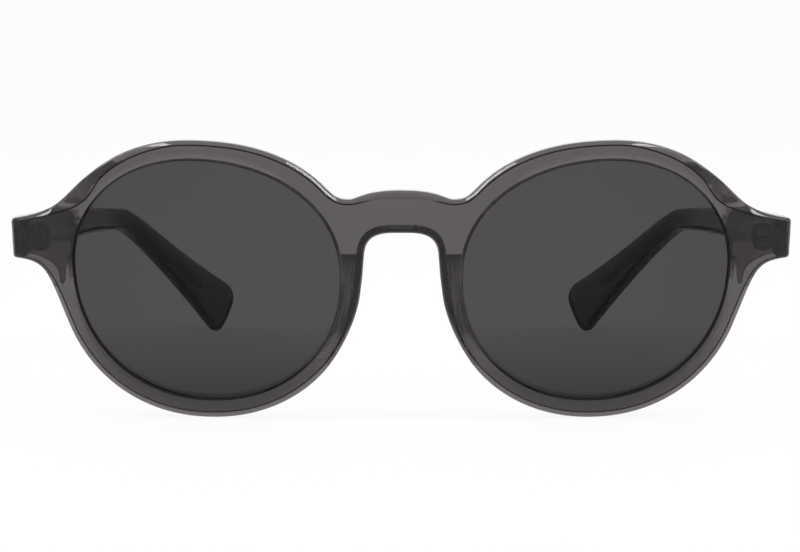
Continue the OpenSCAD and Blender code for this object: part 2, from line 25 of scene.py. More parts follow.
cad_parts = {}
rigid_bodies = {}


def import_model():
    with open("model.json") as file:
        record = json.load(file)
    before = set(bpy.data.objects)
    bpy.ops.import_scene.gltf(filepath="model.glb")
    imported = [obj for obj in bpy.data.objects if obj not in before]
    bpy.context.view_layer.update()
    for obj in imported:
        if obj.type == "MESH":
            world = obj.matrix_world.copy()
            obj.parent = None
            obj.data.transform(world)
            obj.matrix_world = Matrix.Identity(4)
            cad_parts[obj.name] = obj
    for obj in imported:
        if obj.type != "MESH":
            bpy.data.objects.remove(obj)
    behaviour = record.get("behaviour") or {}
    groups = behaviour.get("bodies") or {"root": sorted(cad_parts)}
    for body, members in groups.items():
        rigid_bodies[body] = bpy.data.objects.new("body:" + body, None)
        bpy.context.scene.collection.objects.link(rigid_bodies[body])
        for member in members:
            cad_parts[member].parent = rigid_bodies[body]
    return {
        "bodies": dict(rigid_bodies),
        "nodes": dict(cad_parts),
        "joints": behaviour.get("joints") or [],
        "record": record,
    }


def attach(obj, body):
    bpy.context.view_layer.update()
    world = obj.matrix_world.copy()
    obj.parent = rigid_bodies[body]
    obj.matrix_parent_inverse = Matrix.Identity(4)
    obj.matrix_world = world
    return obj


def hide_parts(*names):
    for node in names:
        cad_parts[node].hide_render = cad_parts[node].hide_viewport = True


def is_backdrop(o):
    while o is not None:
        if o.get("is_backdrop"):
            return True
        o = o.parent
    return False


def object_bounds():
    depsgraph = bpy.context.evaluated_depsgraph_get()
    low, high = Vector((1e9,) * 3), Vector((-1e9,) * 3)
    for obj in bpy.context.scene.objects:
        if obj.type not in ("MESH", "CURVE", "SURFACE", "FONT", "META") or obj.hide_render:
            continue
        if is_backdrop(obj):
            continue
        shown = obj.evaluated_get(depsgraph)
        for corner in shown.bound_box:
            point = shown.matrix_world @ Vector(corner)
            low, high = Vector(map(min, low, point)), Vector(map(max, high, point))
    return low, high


LOG = logging.getLogger("sunglasses")
MM = 0.001
# Point attribute from 0 to 1 that paints shade into the acetate's and lenses' colour
PAINTED_SHADE = "painted_shade_edge"
WHITE = (1.0, 1.0, 1.0, 1.0)
TINY = 1e-12
# Distance between the rows of a grid of even triangles, next to that between its points
ROW = 0.866


class Side(Enum):
    """Which half of the pair, by the viewer's left and right, with the sign of its x."""

    LEFT = -1
    RIGHT = 1

    @property
    def word(self) -> str:
        """The side's word in node and piece names."""
        return self.name.lower()

    def mirrored(self, points: np.ndarray) -> np.ndarray:
        """Points of the right half, taken to this side."""
        return points * np.array([self.value, 1.0, 1.0])


def vec(*numbers: float, size: int = 5) -> np.ndarray:
    """A point from its first numbers, with zeros for the rest."""
    return np.array([*numbers, *[0.0] * (size - len(numbers))], dtype=float)


def columns(*parts: float | np.ndarray) -> np.ndarray:
    """Puts numbers or arrays side by side, as the columns of one array."""
    return np.stack(np.broadcast_arrays(*parts), -1)


def cubic(a: Any, b: Any, c: Any, d: Any, t: Any) -> Any:
    """Point of a cubic curve.

    Args:
        a, b, c, d: the curve's two ends and its two handles, as numbers, arrays or node values.
        t: the share of the way along, from 0 to 1.

    Returns:
        The point, of the same kind as the handles.
    """
    s = 1 - t
    return a * (s * s * s) + b * (s * s * t * 3) + c * (s * t * t * 3) + d * (t * t * t)


def smooth(x: np.ndarray) -> np.ndarray:
    """Smooth step of x between 0 and 1."""
    x = np.clip(x, 0, 1)
    return x * x * (3 - 2 * x)


def painted_edge_shade(a: np.ndarray, least: float = 0.2, turn: float = 55.0, early: float = 0.1,
               fade: float = 0.3) -> np.ndarray:
    """How much painted shade the edge of a lens opening gets: least at its top and beside the nose.

    Args:
        a: angles in degrees about the lens's centre.
        least: the least painted shade.
        turn: how far below the temple side the middle of its dark part is.
        early, fade: where the dark part starts and how softly, as shares of the radius.

    Returns:
        The painted shade at each angle, up to 1.
    """
    return least + (1 - least) * smooth((np.cos(np.radians(a + turn)) + early) / fade)


@dataclass
class Sizes:
    """The sizes that the solids were built from, and the places that follow from them."""

    # The front, its bridge and its rims
    front_w: float = 143.0
    front_t: float = 4.2
    wrap_r: float = 400.0
    bridge_gap: float = 22.4
    bridge_rise: float = 14.5
    bridge_h: float = 7.7
    crown_drop: float = 1.65
    gap_w: float = 14.4
    rim_top: float = 3.7
    rim_low: float = 3.4
    rim_nose: float = 3.4
    rim_temple: float = 3.0
    edge_bevel: float = 1.05
    brow_bevel: float = 0.8
    bevel_depth: float = 0.95
    bridge_bevel: float = 1.5
    back_bevel: float = 0.5
    arch_bevel: float = 1.4
    nose_splay: float = 1.5
    nose_land: float = 0.4
    nose_edge: float = 0.35
    nose_skip: float = 2.0
    # The chamfer round the back of the openings, with its angles in degrees
    rear_bevel: float = 1.4
    rear_depth: float = 0.7
    rear_mid: float = 182.0
    rear_off: float = 34.0
    rear_fade: float = 26.0
    rear_sink: float = 0.3
    # The endpieces
    endpiece_h: float = 7.3
    endpiece_t: float = 5.6
    hinge_rise: float = 5.4
    tip_round: float = 0.7
    tip_bevel: float = 0.5
    tip_lean: float = 0.3
    step_in: float = 0.4
    step_slope: float = 12.0
    # The openings, the rims' curve and the lenses
    lens_temple_r: float = 23.9
    lens_nose_r: float = 25.0
    lens_top_r: float = 19.75
    lens_low_r: float = 23.7
    egg_n: float = 2.1
    lens_skew: float = 0.063
    rim_n: float = 2.24
    rim_skew: float = 0.045
    lens_t: float = 2.0
    lens_base_r: float = 131.0
    lens_proud: float = 0.5
    vee_h: float = 0.4
    vee_w: float = 0.5
    lens_gap: float = 0.05
    # The nose pads
    pad_rise: float = 2.75
    pad_h: float = 19.4
    pad_cap: float = 1.6
    pad_depth: float = 2.7
    pad_edge: float = 1.1
    pad_splay: float = 2.5
    glue_gap: float = 0.04
    # The hinges
    plate_h: float = 5.2
    plate_w: float = 3.9
    plate_t: float = 0.8
    plate_clip: float = 0.9
    hinge_offset: float = 1.7
    # The temples
    temple_t: float = 3.6
    bend_l: float = 88.4
    tip_l: float = 39.6
    bend_soft: float = 7.3
    drop_run: float = 17.6
    drop_rise: float = 14.9
    bend_fall: float = 4.4
    temple_h_bend: float = 4.5
    paddle_h: float = 11.4
    paddle_late: float = 3.3
    tip_top_r: float = 3.6
    tip_low_r: float = 1.4
    tip_share: float = 0.36
    toe_in: float = 5.4
    curl_r: float = 88.0
    curl_share: float = 0.43
    butt_gap: float = 0.06
    bend_t: float = 0.62
    # The core wires, with their ends as shares of the temple's line
    core_h: float = 2.2
    core_t: float = 1.1
    core_from: float = 0.006
    core_to: float = 0.94
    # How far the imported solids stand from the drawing's place along y, in metres
    shift_y: float = 0.0

    def __post_init__(self) -> None:
        """Works out the sizes and places that follow, with the rims standing on the table."""
        self.opening = self.lens_temple_r, self.lens_nose_r, self.lens_top_r, self.lens_low_r
        rims = self.rim_temple, self.rim_nose, self.rim_top, self.rim_low
        self.rim = [lens + rim for lens, rim in zip(self.opening, rims, strict=True)]
        self.half_w = self.front_w / 2
        self.lens_cx = self.bridge_gap / 2 + self.lens_nose_r
        self.lens_cz = max(-self.rim_r(a) * math.sin(math.radians(a)) for a in range(255, 286))
        self.lens_turn = math.asin(self.lens_cx / self.wrap_r)
        self.hinge_z = self.lens_cz + self.hinge_rise
        self.bridge_top = self.lens_cz + self.bridge_rise
        self.bridge_low = self.bridge_top - self.bridge_h
        self.butt_y = float(self.front_y(self.half_w)) + self.endpiece_t
        self.pin_x = self.half_w - self.temple_t - self.hinge_offset
        self.curl_early = self.tip_l * self.curl_share
        self.step_x = self.lens_cx + self.lens_temple_r - self.step_in
        self.step_w = self.half_w - self.step_x
        self.start_y = self.butt_y + self.butt_gap
        self.bend_run = self.bend_l - self.butt_gap
        self.tip_z = self.paddle_h * self.tip_share
        self.middle_x = self.half_w - self.temple_t / 2
        self.toe = math.tan(math.radians(self.toe_in))

    def front_y(self, x: float | np.ndarray) -> float | np.ndarray:
        """Depth of the front's face at x."""
        return self.wrap_r - np.sqrt(self.wrap_r**2 - np.square(x))

    def back_y(self, x: float | np.ndarray) -> float | np.ndarray:
        """Depth of the front's back at x, without the endpieces' thicker parts."""
        return self.wrap_r - np.sqrt((self.wrap_r - self.front_t) ** 2 - np.square(x))

    def egg(self, a: float | np.ndarray, radii: Sequence, skew: float, top_n: float) -> np.ndarray:
        """Radius of an egg curve.

        Args:
            a: angle in degrees from the temple side, as a number or an array.
            radii: its half sizes towards the temple, the nose, the top and the bottom.
            skew: the extra fullness of its upper temple corner.
            top_n: its squareness over its centre.

        Returns:
            The radius at that angle.
        """
        c, s = np.cos(np.radians(a)), np.sin(np.radians(a))
        u = np.where(c > 0, radii[0], radii[1])
        v = np.where(s > 0, radii[2], radii[3])
        n = np.where(s > 0, top_n, self.egg_n)
        return ((np.abs(c) / u) ** n + (np.abs(s) / v) ** n) ** (-1 / n) * (1 + skew * c * s)

    def rim_r(self, a: float | np.ndarray) -> np.ndarray:
        """Radius of the rim's outer edge at angle a."""
        return self.egg(a, self.rim, self.rim_skew, self.rim_n)

    def lens_at(self, a: np.ndarray, grow: float | np.ndarray = 0.0) -> np.ndarray:
        """x and z, about its centre, of a lens opening at the angles a, or so far outside it."""
        r = self.egg(a, [side + grow for side in self.opening], self.lens_skew, self.egg_n)
        return columns(r * np.cos(np.radians(a)), r * np.sin(np.radians(a)))

    def rear_d(self, a: np.ndarray) -> np.ndarray:
        """Depth of the chamfer round the back of a lens opening at the angles a."""
        t = smooth((np.abs(a - self.rear_mid) - self.rear_off) / self.rear_fade)
        return (self.rear_depth + self.rear_sink) * t - self.rear_sink

    def edge_y(self, p: np.ndarray) -> np.ndarray:
        """Depth of the middle of a lens's edge at the points p, in the lens's own frame."""
        sag = self.lens_base_r - np.sqrt(self.lens_base_r**2 - np.sum(p * p, -1))
        return sag + self.lens_t / 2 - self.lens_proud

    def from_lens(self, points: np.ndarray) -> np.ndarray:
        """Turns points of the right lens's own frame into the pair's frame.

        Args:
            points: the points.

        Returns:
            The same points in the pair's frame.
        """
        c, s = math.cos(self.lens_turn), math.sin(self.lens_turn)
        x, y, z = np.moveaxis(points, -1, 0)
        middle = float(self.front_y(self.lens_cx))
        return columns(self.lens_cx + x * c - y * s, middle + x * s + y * c, self.lens_cz + z)


@dataclass
class Outline:
    """The front's outline, the same curves as the solid's with more points.

    Each point is its x, its z, the front bevel there, and the back bevel's width and depth.
    """

    size: Sizes

    # Angles at which the rim's curve passes into the other curves
    SHOULDER, BROW, CHEEK, NOSE = 138.0, 48.0, -22.0, -138.0
    # How many points stand for each of the solid's
    FINE = 5
    # Where the front bevel widens to a facet on the brow, and by how much
    FACET = ((41.5, 0.0), (49.8, 0.5), (54.0, 0.75), (56.3, 1.1), (57.8, 1.75), (59.6, 2.3),
             (61.2, 2.0), (63.2, 0.9), (64.9, 0.45), (66.7, 0.2), (69.0, 0.0))

    def __post_init__(self) -> None:
        """Works out the right half, the whole loop, and the way out of it at each point."""
        self.half = self._half()
        mirrored = self.half[-2:0:-1] * np.array([-1.0, 1.0, 1.0, 1.0, 1.0])
        self.points = np.concatenate([self.half, mirrored])
        run = np.roll(self.points, -1, 0)[:, :2] - np.roll(self.points, 1, 0)[:, :2]
        run /= np.linalg.norm(run, axis=1)[:, None]
        self.outward = columns(-run[:, 1], run[:, 0])

    def _rim(self, a: float) -> np.ndarray:
        """Point of the rim.

        Args:
            a: its angle in degrees about the lens's centre.

        Returns:
            The point, with a bevel that narrows towards the brow.
        """
        s, up = self.size, math.sin(math.radians(a))
        r = float(s.rim_r(a))
        width = s.edge_bevel + (s.brow_bevel - s.edge_bevel) * (1 + up) / 2
        x = s.lens_cx + r * math.cos(math.radians(a))
        return vec(x, s.lens_cz + r * up, width, s.back_bevel, s.back_bevel)

    def _run(self, a: float) -> np.ndarray:
        """Direction in which the outline runs clockwise past the rim at angle a."""
        d = (self._rim(a - 1) - self._rim(a + 1))[:2]
        return vec(*(d / np.linalg.norm(d)))

    def _curve(self, a: np.ndarray, b: np.ndarray, c: np.ndarray, d: np.ndarray,
               n: int) -> list[np.ndarray]:
        """Points of a cubic curve without its end."""
        n *= self.FINE
        return [cubic(a, b, c, d, i / n) for i in range(n)]

    def _arc(self, start: float, end: float, n: int) -> list[np.ndarray]:
        """Points along the rim from one angle to another, without the last."""
        n *= self.FINE
        return [self._rim(start + (end - start) * i / n) for i in range(n)]

    def _corner(self, centre: np.ndarray, start: float, end: float) -> list[np.ndarray]:
        """Points round a corner of the endpiece's tip."""
        turns = np.radians(np.linspace(start, end, 10))
        return [centre + self.size.tip_round * vec(math.cos(a), math.sin(a)) for a in turns]

    def _half(self) -> np.ndarray:
        """Right half of the outline, clockwise from the top of the bridge to its underside.

        Returns:
            Its points, five values each.
        """
        s, back, arch = self.size, self.size.back_bevel, self.size.arch_bevel
        tip_z = s.endpiece_h / 2
        crown = vec(0, s.bridge_top, s.bridge_bevel, back, back)
        dip = vec(s.bridge_gap / 2 - 1.6, s.bridge_top - s.crown_drop, s.brow_bevel, back, back)
        tip_top = vec(s.half_w - s.tip_round, s.hinge_z + tip_z, s.tip_bevel)
        tip_low = vec(s.half_w - s.tip_lean - s.tip_round, s.hinge_z - tip_z, s.tip_bevel)
        gap_side = vec(s.gap_w / 2 + 0.15, s.lens_cz - 3.6, s.nose_edge, s.nose_splay,
                       s.front_t - s.nose_land)
        gap_top = vec(s.gap_w / 2 - 0.45, s.bridge_low - 4.1, s.nose_edge, arch,
                      (s.front_t + arch) / 2)
        gap_mid = vec(1.5, s.bridge_low, s.nose_edge, arch, arch)
        shoulder, brow, cheek, nose = map(
            self._rim, (self.SHOULDER, self.BROW, self.CHEEK, self.NOSE)
        )
        brow_w, cheek_w = tip_top[0] - brow[0], tip_low[0] - cheek[0]
        points = self._curve(crown, crown + vec(7), dip - vec(1.7), dip, 7)
        points += self._curve(dip, dip + vec(3.2), shoulder - 5 * self._run(self.SHOULDER),
                              shoulder, 5)
        points += self._arc(self.SHOULDER, self.BROW, 16)
        points += self._curve(brow, brow + 0.62 * brow_w * self._run(self.BROW),
                              tip_top + vec(-0.6 * brow_w, 0.1 * brow_w), tip_top, 9)
        points += self._corner(tip_top - vec(0, s.tip_round), 90, 0)
        points += self._corner(tip_low + vec(0, s.tip_round), 0, -90)
        points += self._curve(
            tip_low - vec(0.2, 0.06), tip_low - vec(0.6 * cheek_w, 0.7),
            cheek - 1.03 * cheek_w * self._run(self.CHEEK) + vec(0.2), cheek, 9,
        )
        points += self._arc(self.CHEEK, self.NOSE, 20)
        points += self._curve(nose, nose + 5 * self._run(self.NOSE) - vec(0, 0, s.nose_edge),
                              gap_side + vec(0.6, -5.5), gap_side, 8)
        points += self._curve(gap_side, gap_side + vec(-0.4, 3), gap_top - vec(-0.2, 1.5),
                              gap_top, 5)
        points += self._curve(gap_top, gap_top + vec(-0.15, 3), gap_mid + vec(3.3), gap_mid, 7)
        points += [gap_mid, gap_mid - vec(0.75), gap_mid - vec(1.5)]
        half = np.array(points)
        upper = (half[:, 1] > s.hinge_z + tip_z - 0.2) & (half[:, 0] > s.lens_cx)
        half[upper, 2] += np.interp(half[upper, 0], *zip(*self.FACET, strict=True))
        return half

    def nose_side(self, z: float, k: int) -> float:
        """Value of the outline on the nose side of the rim.

        Args:
            z: the height.
            k: which of a point's values.

        Returns:
            The value there.
        """
        s, h = self.size, self.half
        side = h[(h[:, 0] < s.lens_cx - 0.72 * s.lens_nose_r) & (h[:, 1] < s.bridge_low - s.nose_skip)]
        order = np.argsort(side[:, 1])
        return float(np.interp(z, side[order, 1], side[order, k]))


def operator(operation: str, swap: bool = False) -> Callable[[Calc, Any], Calc]:
    """Makes one of Calc's operators.

    Args:
        operation: the Math node's operation.
        swap: whether the other value comes first.

    Returns:
        The method.
    """
    def method(self: Calc, other: Calc | float) -> Calc:
        """Adds the Math node."""
        return self.patch.math(operation, *((other, self) if swap else (self, other)))
    return method


class Calc:
    """A value in a node tree. Python's operators on it add Math nodes."""

    def __init__(self, patch: Patch, socket: bpy.types.NodeSocket) -> None:
        """Keeps the tree's wiring and the output that the value comes from."""
        self.patch = patch
        self.socket = socket

    __add__ = __radd__ = operator("ADD")
    __sub__ = operator("SUBTRACT")
    __rsub__ = operator("SUBTRACT", swap=True)
    __mul__ = __rmul__ = operator("MULTIPLY")
    __truediv__ = operator("DIVIDE")
    __rtruediv__ = operator("DIVIDE", swap=True)
    __pow__ = operator("POWER")
    __gt__ = operator("GREATER_THAN")


class Patch:
    """The wiring of one node tree."""

    def __init__(self, tree: bpy.types.NodeTree) -> None:
        """Keeps a shader or geometry node tree."""
        self.tree = tree

    @classmethod
    def of(cls, owner: bpy.types.Material | bpy.types.World) -> Patch:
        """Gives a new material or world an empty tree.

        Args:
            owner: the material or world.

        Returns:
            The wiring of its tree.
        """
        owner.use_nodes = True
        owner.node_tree.nodes.clear()
        return cls(owner.node_tree)

    def node(self, kind: str, settings: dict | None = None,
             values: dict | None = None) -> bpy.types.Node:
        """Adds a node.

        Args:
            kind: the node's type.
            settings: its properties, set first.
            values: what its inputs get, by name or number: a plain value, a Calc, a socket, or
                a node for its first output.

        Returns:
            The new node.
        """
        node = self.tree.nodes.new(kind)
        for name, value in (settings or {}).items():
            setattr(node, name, value)
        for key, value in (values or {}).items():
            source = value.outputs[0] if isinstance(value, bpy.types.Node) else value
            source = source.socket if isinstance(source, Calc) else source
            if isinstance(source, bpy.types.NodeSocket):
                self.tree.links.new(source, node.inputs[key])
            else:
                node.inputs[key].default_value = source
        return node

    def value(self, kind: str, settings: dict | None = None, values: dict | None = None,
              out: int | str = 0) -> Calc:
        """Adds a node and wraps one of its outputs."""
        return Calc(self, self.node(kind, settings, values).outputs[out])

    def math(self, operation: str, *values: Calc | float) -> Calc:
        """Adds a Math node on numbers or Calcs."""
        return self.value("ShaderNodeMath", {"operation": operation}, dict(enumerate(values)))

    def colour(self, a: Any, b: Any, share: Calc | float) -> bpy.types.NodeSocket:
        """Mixes the colour a with a share of b. Each is a colour or a socket."""
        return self.node("ShaderNodeMix", {"data_type": "RGBA"}, {0: share, 6: a, 7: b}).outputs[2]

    def noise(self, where: Any, scale: float, detail: float) -> Calc:
        """Adds smooth noise at the points where, with so many lumps to the metre."""
        return self.value("ShaderNodeTexNoise",
                          values={"Vector": where, "Scale": scale, "Detail": detail})

    def stretched(self, where: Any, scale: tuple[float, float, float]) -> bpy.types.Node:
        """Scales the points where."""
        return self.node("ShaderNodeMapping", values={"Vector": where, "Scale": scale})

    def fade(self, value: Calc, over: tuple[float, float], ends: tuple[float, float],
             kind: str = "LINEAR") -> Calc:
        """Fades from one number to another while a value goes from one limit to the other.

        Args:
            value: the value.
            over: its two limits.
            ends: the number at each limit.
            kind: the form of the fade.

        Returns:
            The faded number.
        """
        return self.value("ShaderNodeMapRange", {"interpolation_type": kind},
                          dict(enumerate((value, *over, *ends))))

    def bump(self, height: Calc, strength: float, distance: float) -> bpy.types.Node:
        """Turns heights into a bumpy normal, with their distance in millimetres."""
        return self.node("ShaderNodeBump",
                         values={"Strength": strength, "Distance": distance * MM, "Height": height})


def linear(r: int, g: int, b: int) -> tuple[float, float, float, float]:
    """Turns a colour as it looks on screen into shader values.

    Args:
        r, g, b: its red, green and blue, from 0 to 255.

    Returns:
        The same colour for a shader, opaque.
    """
    def one(c: float) -> float:
        """Turns one of its three parts, by the sRGB formula."""
        return c / 12.92 if c <= 0.04045 else ((c + 0.055) / 1.055) ** 2.4
    return one(r / 255), one(g / 255), one(b / 255), 1.0


@dataclass(frozen=True)
class Finish:
    """A finish that varies over a piece.

    Fields:
        name: the material's name.
    """

    name: str

    def make(self) -> bpy.types.Material:
        """Builds the material, on Object coordinates.

        Returns:
            The material.
        """
        mat = bpy.data.materials.new(self.name)
        patch = Patch.of(mat)
        where = patch.node("ShaderNodeTexCoord").outputs["Object"]
        patch.node("ShaderNodeOutputMaterial", values=self.layers(patch, where))
        return mat

    def layers(self, patch: Patch, where: bpy.types.NodeSocket) -> dict[str, bpy.types.Node]:
        """Builds what the material shows. Each finish has its own."""
        raise NotImplementedError


@dataclass(frozen=True)
class ClearStock(Finish):
    """See-through plastic that darkens with its thickness.

    Fields:
        density: how strongly it darkens, for each metre.
        tint: what it lets through unharmed.
        ior: how strongly it bends light.
        roughness: how dull its polish is.
        streak: how uneven its colour is.
        haze: how much light it scatters at its skin.
        wave: height of the polishing waves, in millimetres.
        clouds, fine: how many clouds and fine marks there are to the metre.
        warmth: how much a streak takes from each of red, green and blue.
        dark: colour of the painted shade along edges, creases and the pads.
    """

    density: float
    tint: tuple[float, float, float]
    ior: float = 1.49
    roughness: float = 0.03
    streak: float = 0.06
    haze: float = 0.0
    wave: float = 0.004
    clouds: tuple[float, float, float] = (60.0, 60.0, 190.0)
    fine: float = 900.0
    warmth: tuple[float, float, float] = (1.0, 1.1, 1.3)
    dark: tuple[float, float, float, float] = (0.004, 0.0035, 0.003, 1.0)

    def layers(self, patch: Patch, where: bpy.types.NodeSocket) -> dict[str, bpy.types.Node]:
        """Builds what the material shows.

        Args:
            patch: the material's wiring.
            where: Object coordinates.

        Returns:
            The nodes for the material output, by its inputs.
        """
        cloud = patch.noise(patch.stretched(where, self.clouds), 1.0, 3.0)
        fine = patch.noise(where, self.fine, 2.0)
        streaked = (*(1 - self.streak * share for share in self.warmth), 1.0)
        # The attribute paints shade: it darkens the base colour along edges, creases and the pads
        edge = patch.value("ShaderNodeAttribute", {"attribute_name": PAINTED_SHADE}, out="Fac")
        shader = patch.node("ShaderNodeBsdfPrincipled", values={
            "Base Color": patch.colour(patch.colour(WHITE, streaked, cloud), self.dark, edge),
            "Roughness": fine * 0.02 + (self.roughness - 0.01),
            "IOR": self.ior,
            "Transmission Weight": 1.0 - self.haze,
            "Normal": patch.bump(cloud * 0.7 + fine * 0.3, 0.25, self.wave),
        })
        volume = patch.node("ShaderNodeVolumeAbsorption",
                            values={"Color": (*self.tint, 1.0), "Density": self.density})
        return {"Surface": shader, "Volume": volume}


@dataclass(frozen=True)
class BareMetal(Finish):
    """Uncoated metal with fine tumbling marks.

    Fields:
        light, dark: its colour at its brightest and in its marks.
        roughness: how dull it is.
        grain: how fine the marks are, for each metre.
        stretch: how much longer than wide the marks are along Z.
        metallic: how much of its light comes back as from bare metal.
        pits: how many dull spots there are to the metre.
    """

    light: tuple[int, int, int]
    dark: tuple[int, int, int]
    roughness: float
    grain: float = 2600.0
    stretch: float = 1.0
    metallic: float = 1.0
    pits: float = 500.0

    def layers(self, patch: Patch, where: bpy.types.NodeSocket) -> dict[str, bpy.types.Node]:
        """Builds what the material shows.

        Args:
            patch: the material's wiring.
            where: Object coordinates.

        Returns:
            The nodes for the material output, by its inputs.
        """
        scale = self.grain, self.grain, self.grain / self.stretch
        marks = patch.noise(patch.stretched(where, scale), 1.0, 4.0)
        shader = patch.node("ShaderNodeBsdfPrincipled", values={
            "Base Color": patch.colour(linear(*self.dark), linear(*self.light), marks),
            "Metallic": self.metallic,
            "Roughness": patch.noise(where, self.pits, 2.0) * 0.16 + (self.roughness - 0.08),
            "Normal": patch.bump(marks, 0.4, 0.01),
        })
        return {"Surface": shader}


def link(name: str, data: bpy.types.ID) -> bpy.types.Object:
    """Makes an object of some data and puts it in the scene.

    Args:
        name: the object's name.
        data: its mesh, lamp or camera.

    Returns:
        The object.
    """
    item = bpy.data.objects.new(name, data)
    bpy.context.scene.collection.objects.link(item)
    return item


def look_at(item: bpy.types.Object, eye: Vector, aim: Vector) -> None:
    """Puts a lamp or a camera at a place and points it at another."""
    item.location = eye
    item.rotation_euler = (aim - eye).to_track_quat("-Z", "Y").to_euler()


@contextmanager
def edited(data: bpy.types.Mesh, weld: float = 0.001) -> Iterator[bmesh.types.BMesh]:
    """Welds a mesh's doubled points, lets the block edit it and writes it back.

    Args:
        data: the mesh.
        weld: how close doubled points are, in millimetres.

    Yields:
        The mesh, open for edits.
    """
    build = bmesh.new()
    build.from_mesh(data)
    bmesh.ops.remove_doubles(build, verts=build.verts, dist=weld * MM)
    yield build
    build.to_mesh(data)
    build.free()


@dataclass
class Workshop:
    """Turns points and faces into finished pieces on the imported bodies."""

    size: Sizes

    BODY = {Side.LEFT: "left_temple_arm", Side.RIGHT: "right_temple_arm"}

    def to_scene(self, points: np.ndarray, side: Side = Side.RIGHT) -> np.ndarray:
        """Turns points in millimetres into the scene's metres, mirrored for the left side."""
        return side.mirrored(points) * MM + np.array([0.0, self.size.shift_y, 0.0])

    def mesh(self, name: str, points: np.ndarray, faces: Iterable, dark: np.ndarray,
             side: Side = Side.RIGHT, sharp: float = 28.0) -> bpy.types.Object:
        """Makes a closed, smooth-shaded mesh object.

        Args:
            name: the piece's name.
            points: its points in millimetres.
            faces: its faces, as lists of point numbers.
            dark: how much painted shade the stock has at each point, along its edges and creases.
            side: the half it is for. A left piece is the mirror of a right one.
            sharp: the angle, in degrees, past which an edge is crisp.

        Returns:
            The object, at the origin.
        """
        data = bpy.data.meshes.new(name)
        data.from_pydata(self.to_scene(points, side).tolist(), [], [list(f) for f in faces])
        data.attributes.new(PAINTED_SHADE, "FLOAT", "POINT").data.foreach_set("value", dark)
        with edited(data, 0.0005) as build:
            bmesh.ops.dissolve_degenerate(build, edges=build.edges, dist=0.0001 * MM)
            bmesh.ops.recalc_face_normals(build, faces=build.faces)
        return self.place(data, sharp)

    def place(self, data: bpy.types.Mesh, sharp: float) -> bpy.types.Object:
        """Shades a mesh smooth but for its crisp edges, and puts it in the scene.

        Args:
            data: the mesh.
            sharp: the angle, in degrees, past which an edge is crisp.

        Returns:
            The object.
        """
        data.shade_smooth()
        data.set_sharp_from_angle(angle=math.radians(sharp))
        return link(data.name, data)

    def finish(self, piece: bpy.types.Object, material: bpy.types.Material, body: str,
               slot: str, node: str) -> None:
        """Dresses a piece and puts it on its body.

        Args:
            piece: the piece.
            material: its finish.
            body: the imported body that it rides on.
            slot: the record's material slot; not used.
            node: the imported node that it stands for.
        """
        piece.data.materials.clear()
        piece.data.materials.append(material)
        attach(piece, body)
        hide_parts(node)
        LOG.info("%s: %d faces on %s", piece.name, len(piece.data.polygons), body)


def strip(rows: Sequence[np.ndarray]) -> list[tuple[int, ...]]:
    """Faces between closed rows of point numbers.

    Args:
        rows: arrays of point numbers, all of one length.

    Returns:
        The faces, four points each.
    """
    faces: list[tuple[int, ...]] = []
    for a, b in zip(rows[:-1], rows[1:], strict=True):
        faces += columns(a, np.roll(a, -1), np.roll(b, -1), b).tolist()
    return faces


def fillet(u: np.ndarray, v: np.ndarray, w: np.ndarray, cut: np.ndarray, steps: int = 3,
           most: float = 0.45) -> list[np.ndarray]:
    """Rounds the corner v between u and w.

    Args:
        u, v, w: rows of points of equal shape.
        cut: how far from the corner the rounding starts, one for each point.
        steps: how many pieces the rounding has.
        most: the share of either side that the rounding may take up.

    Returns:
        The rounded corner as steps + 1 rows.
    """
    before, after = (np.linalg.norm(end - v, axis=-1) for end in (u, w))
    reach = np.minimum(np.minimum(before * most, after * most), cut)
    a = v + (u - v) / np.maximum(before, TINY)[:, None] * reach[:, None]
    b = v + (w - v) / np.maximum(after, TINY)[:, None] * reach[:, None]
    shares = [i / steps for i in range(steps + 1)]
    return [a * (1 - t) ** 2 + v * (2 * t * (1 - t)) + b * t**2 for t in shares]


def inside(points: np.ndarray, loop: np.ndarray) -> np.ndarray:
    """Which points lie inside a closed loop.

    Args:
        points: points to test, as x and z.
        loop: the loop's points.

    Returns:
        One truth value for each point.
    """
    x, z = points[:, :1], points[:, 1:]
    a, b = loop, np.roll(loop, -1, 0)
    over = (a[:, 1] > z) != (b[:, 1] > z)
    rise = b[:, 1] - a[:, 1]
    cross = a[:, 0] + (z - a[:, 1]) * (b[:, 0] - a[:, 0]) / np.where(np.abs(rise) < TINY, TINY, rise)
    return (over & (x < cross)).sum(1) % 2 == 1


def distance(points: np.ndarray, loop: np.ndarray) -> np.ndarray:
    """Distance of points from a closed loop of straight sides.

    Args:
        points: the points, as x and z.
        loop: the loop's points.

    Returns:
        The distance of each point.
    """
    best = np.full(len(points), np.inf)
    for p, q in zip(loop, np.roll(loop, -1, 0), strict=True):
        d = q - p
        t = np.clip(((points - p) @ d) / max(float(d @ d), TINY), 0, 1)
        best = np.minimum(best, np.linalg.norm(points - p - t[:, None] * d, axis=1))
    return best


def depth_in(points: np.ndarray, loop: np.ndarray) -> np.ndarray:
    """Distance of points from a closed loop, below zero outside it."""
    return distance(points, loop) * np.where(inside(points, loop), 1, -1)


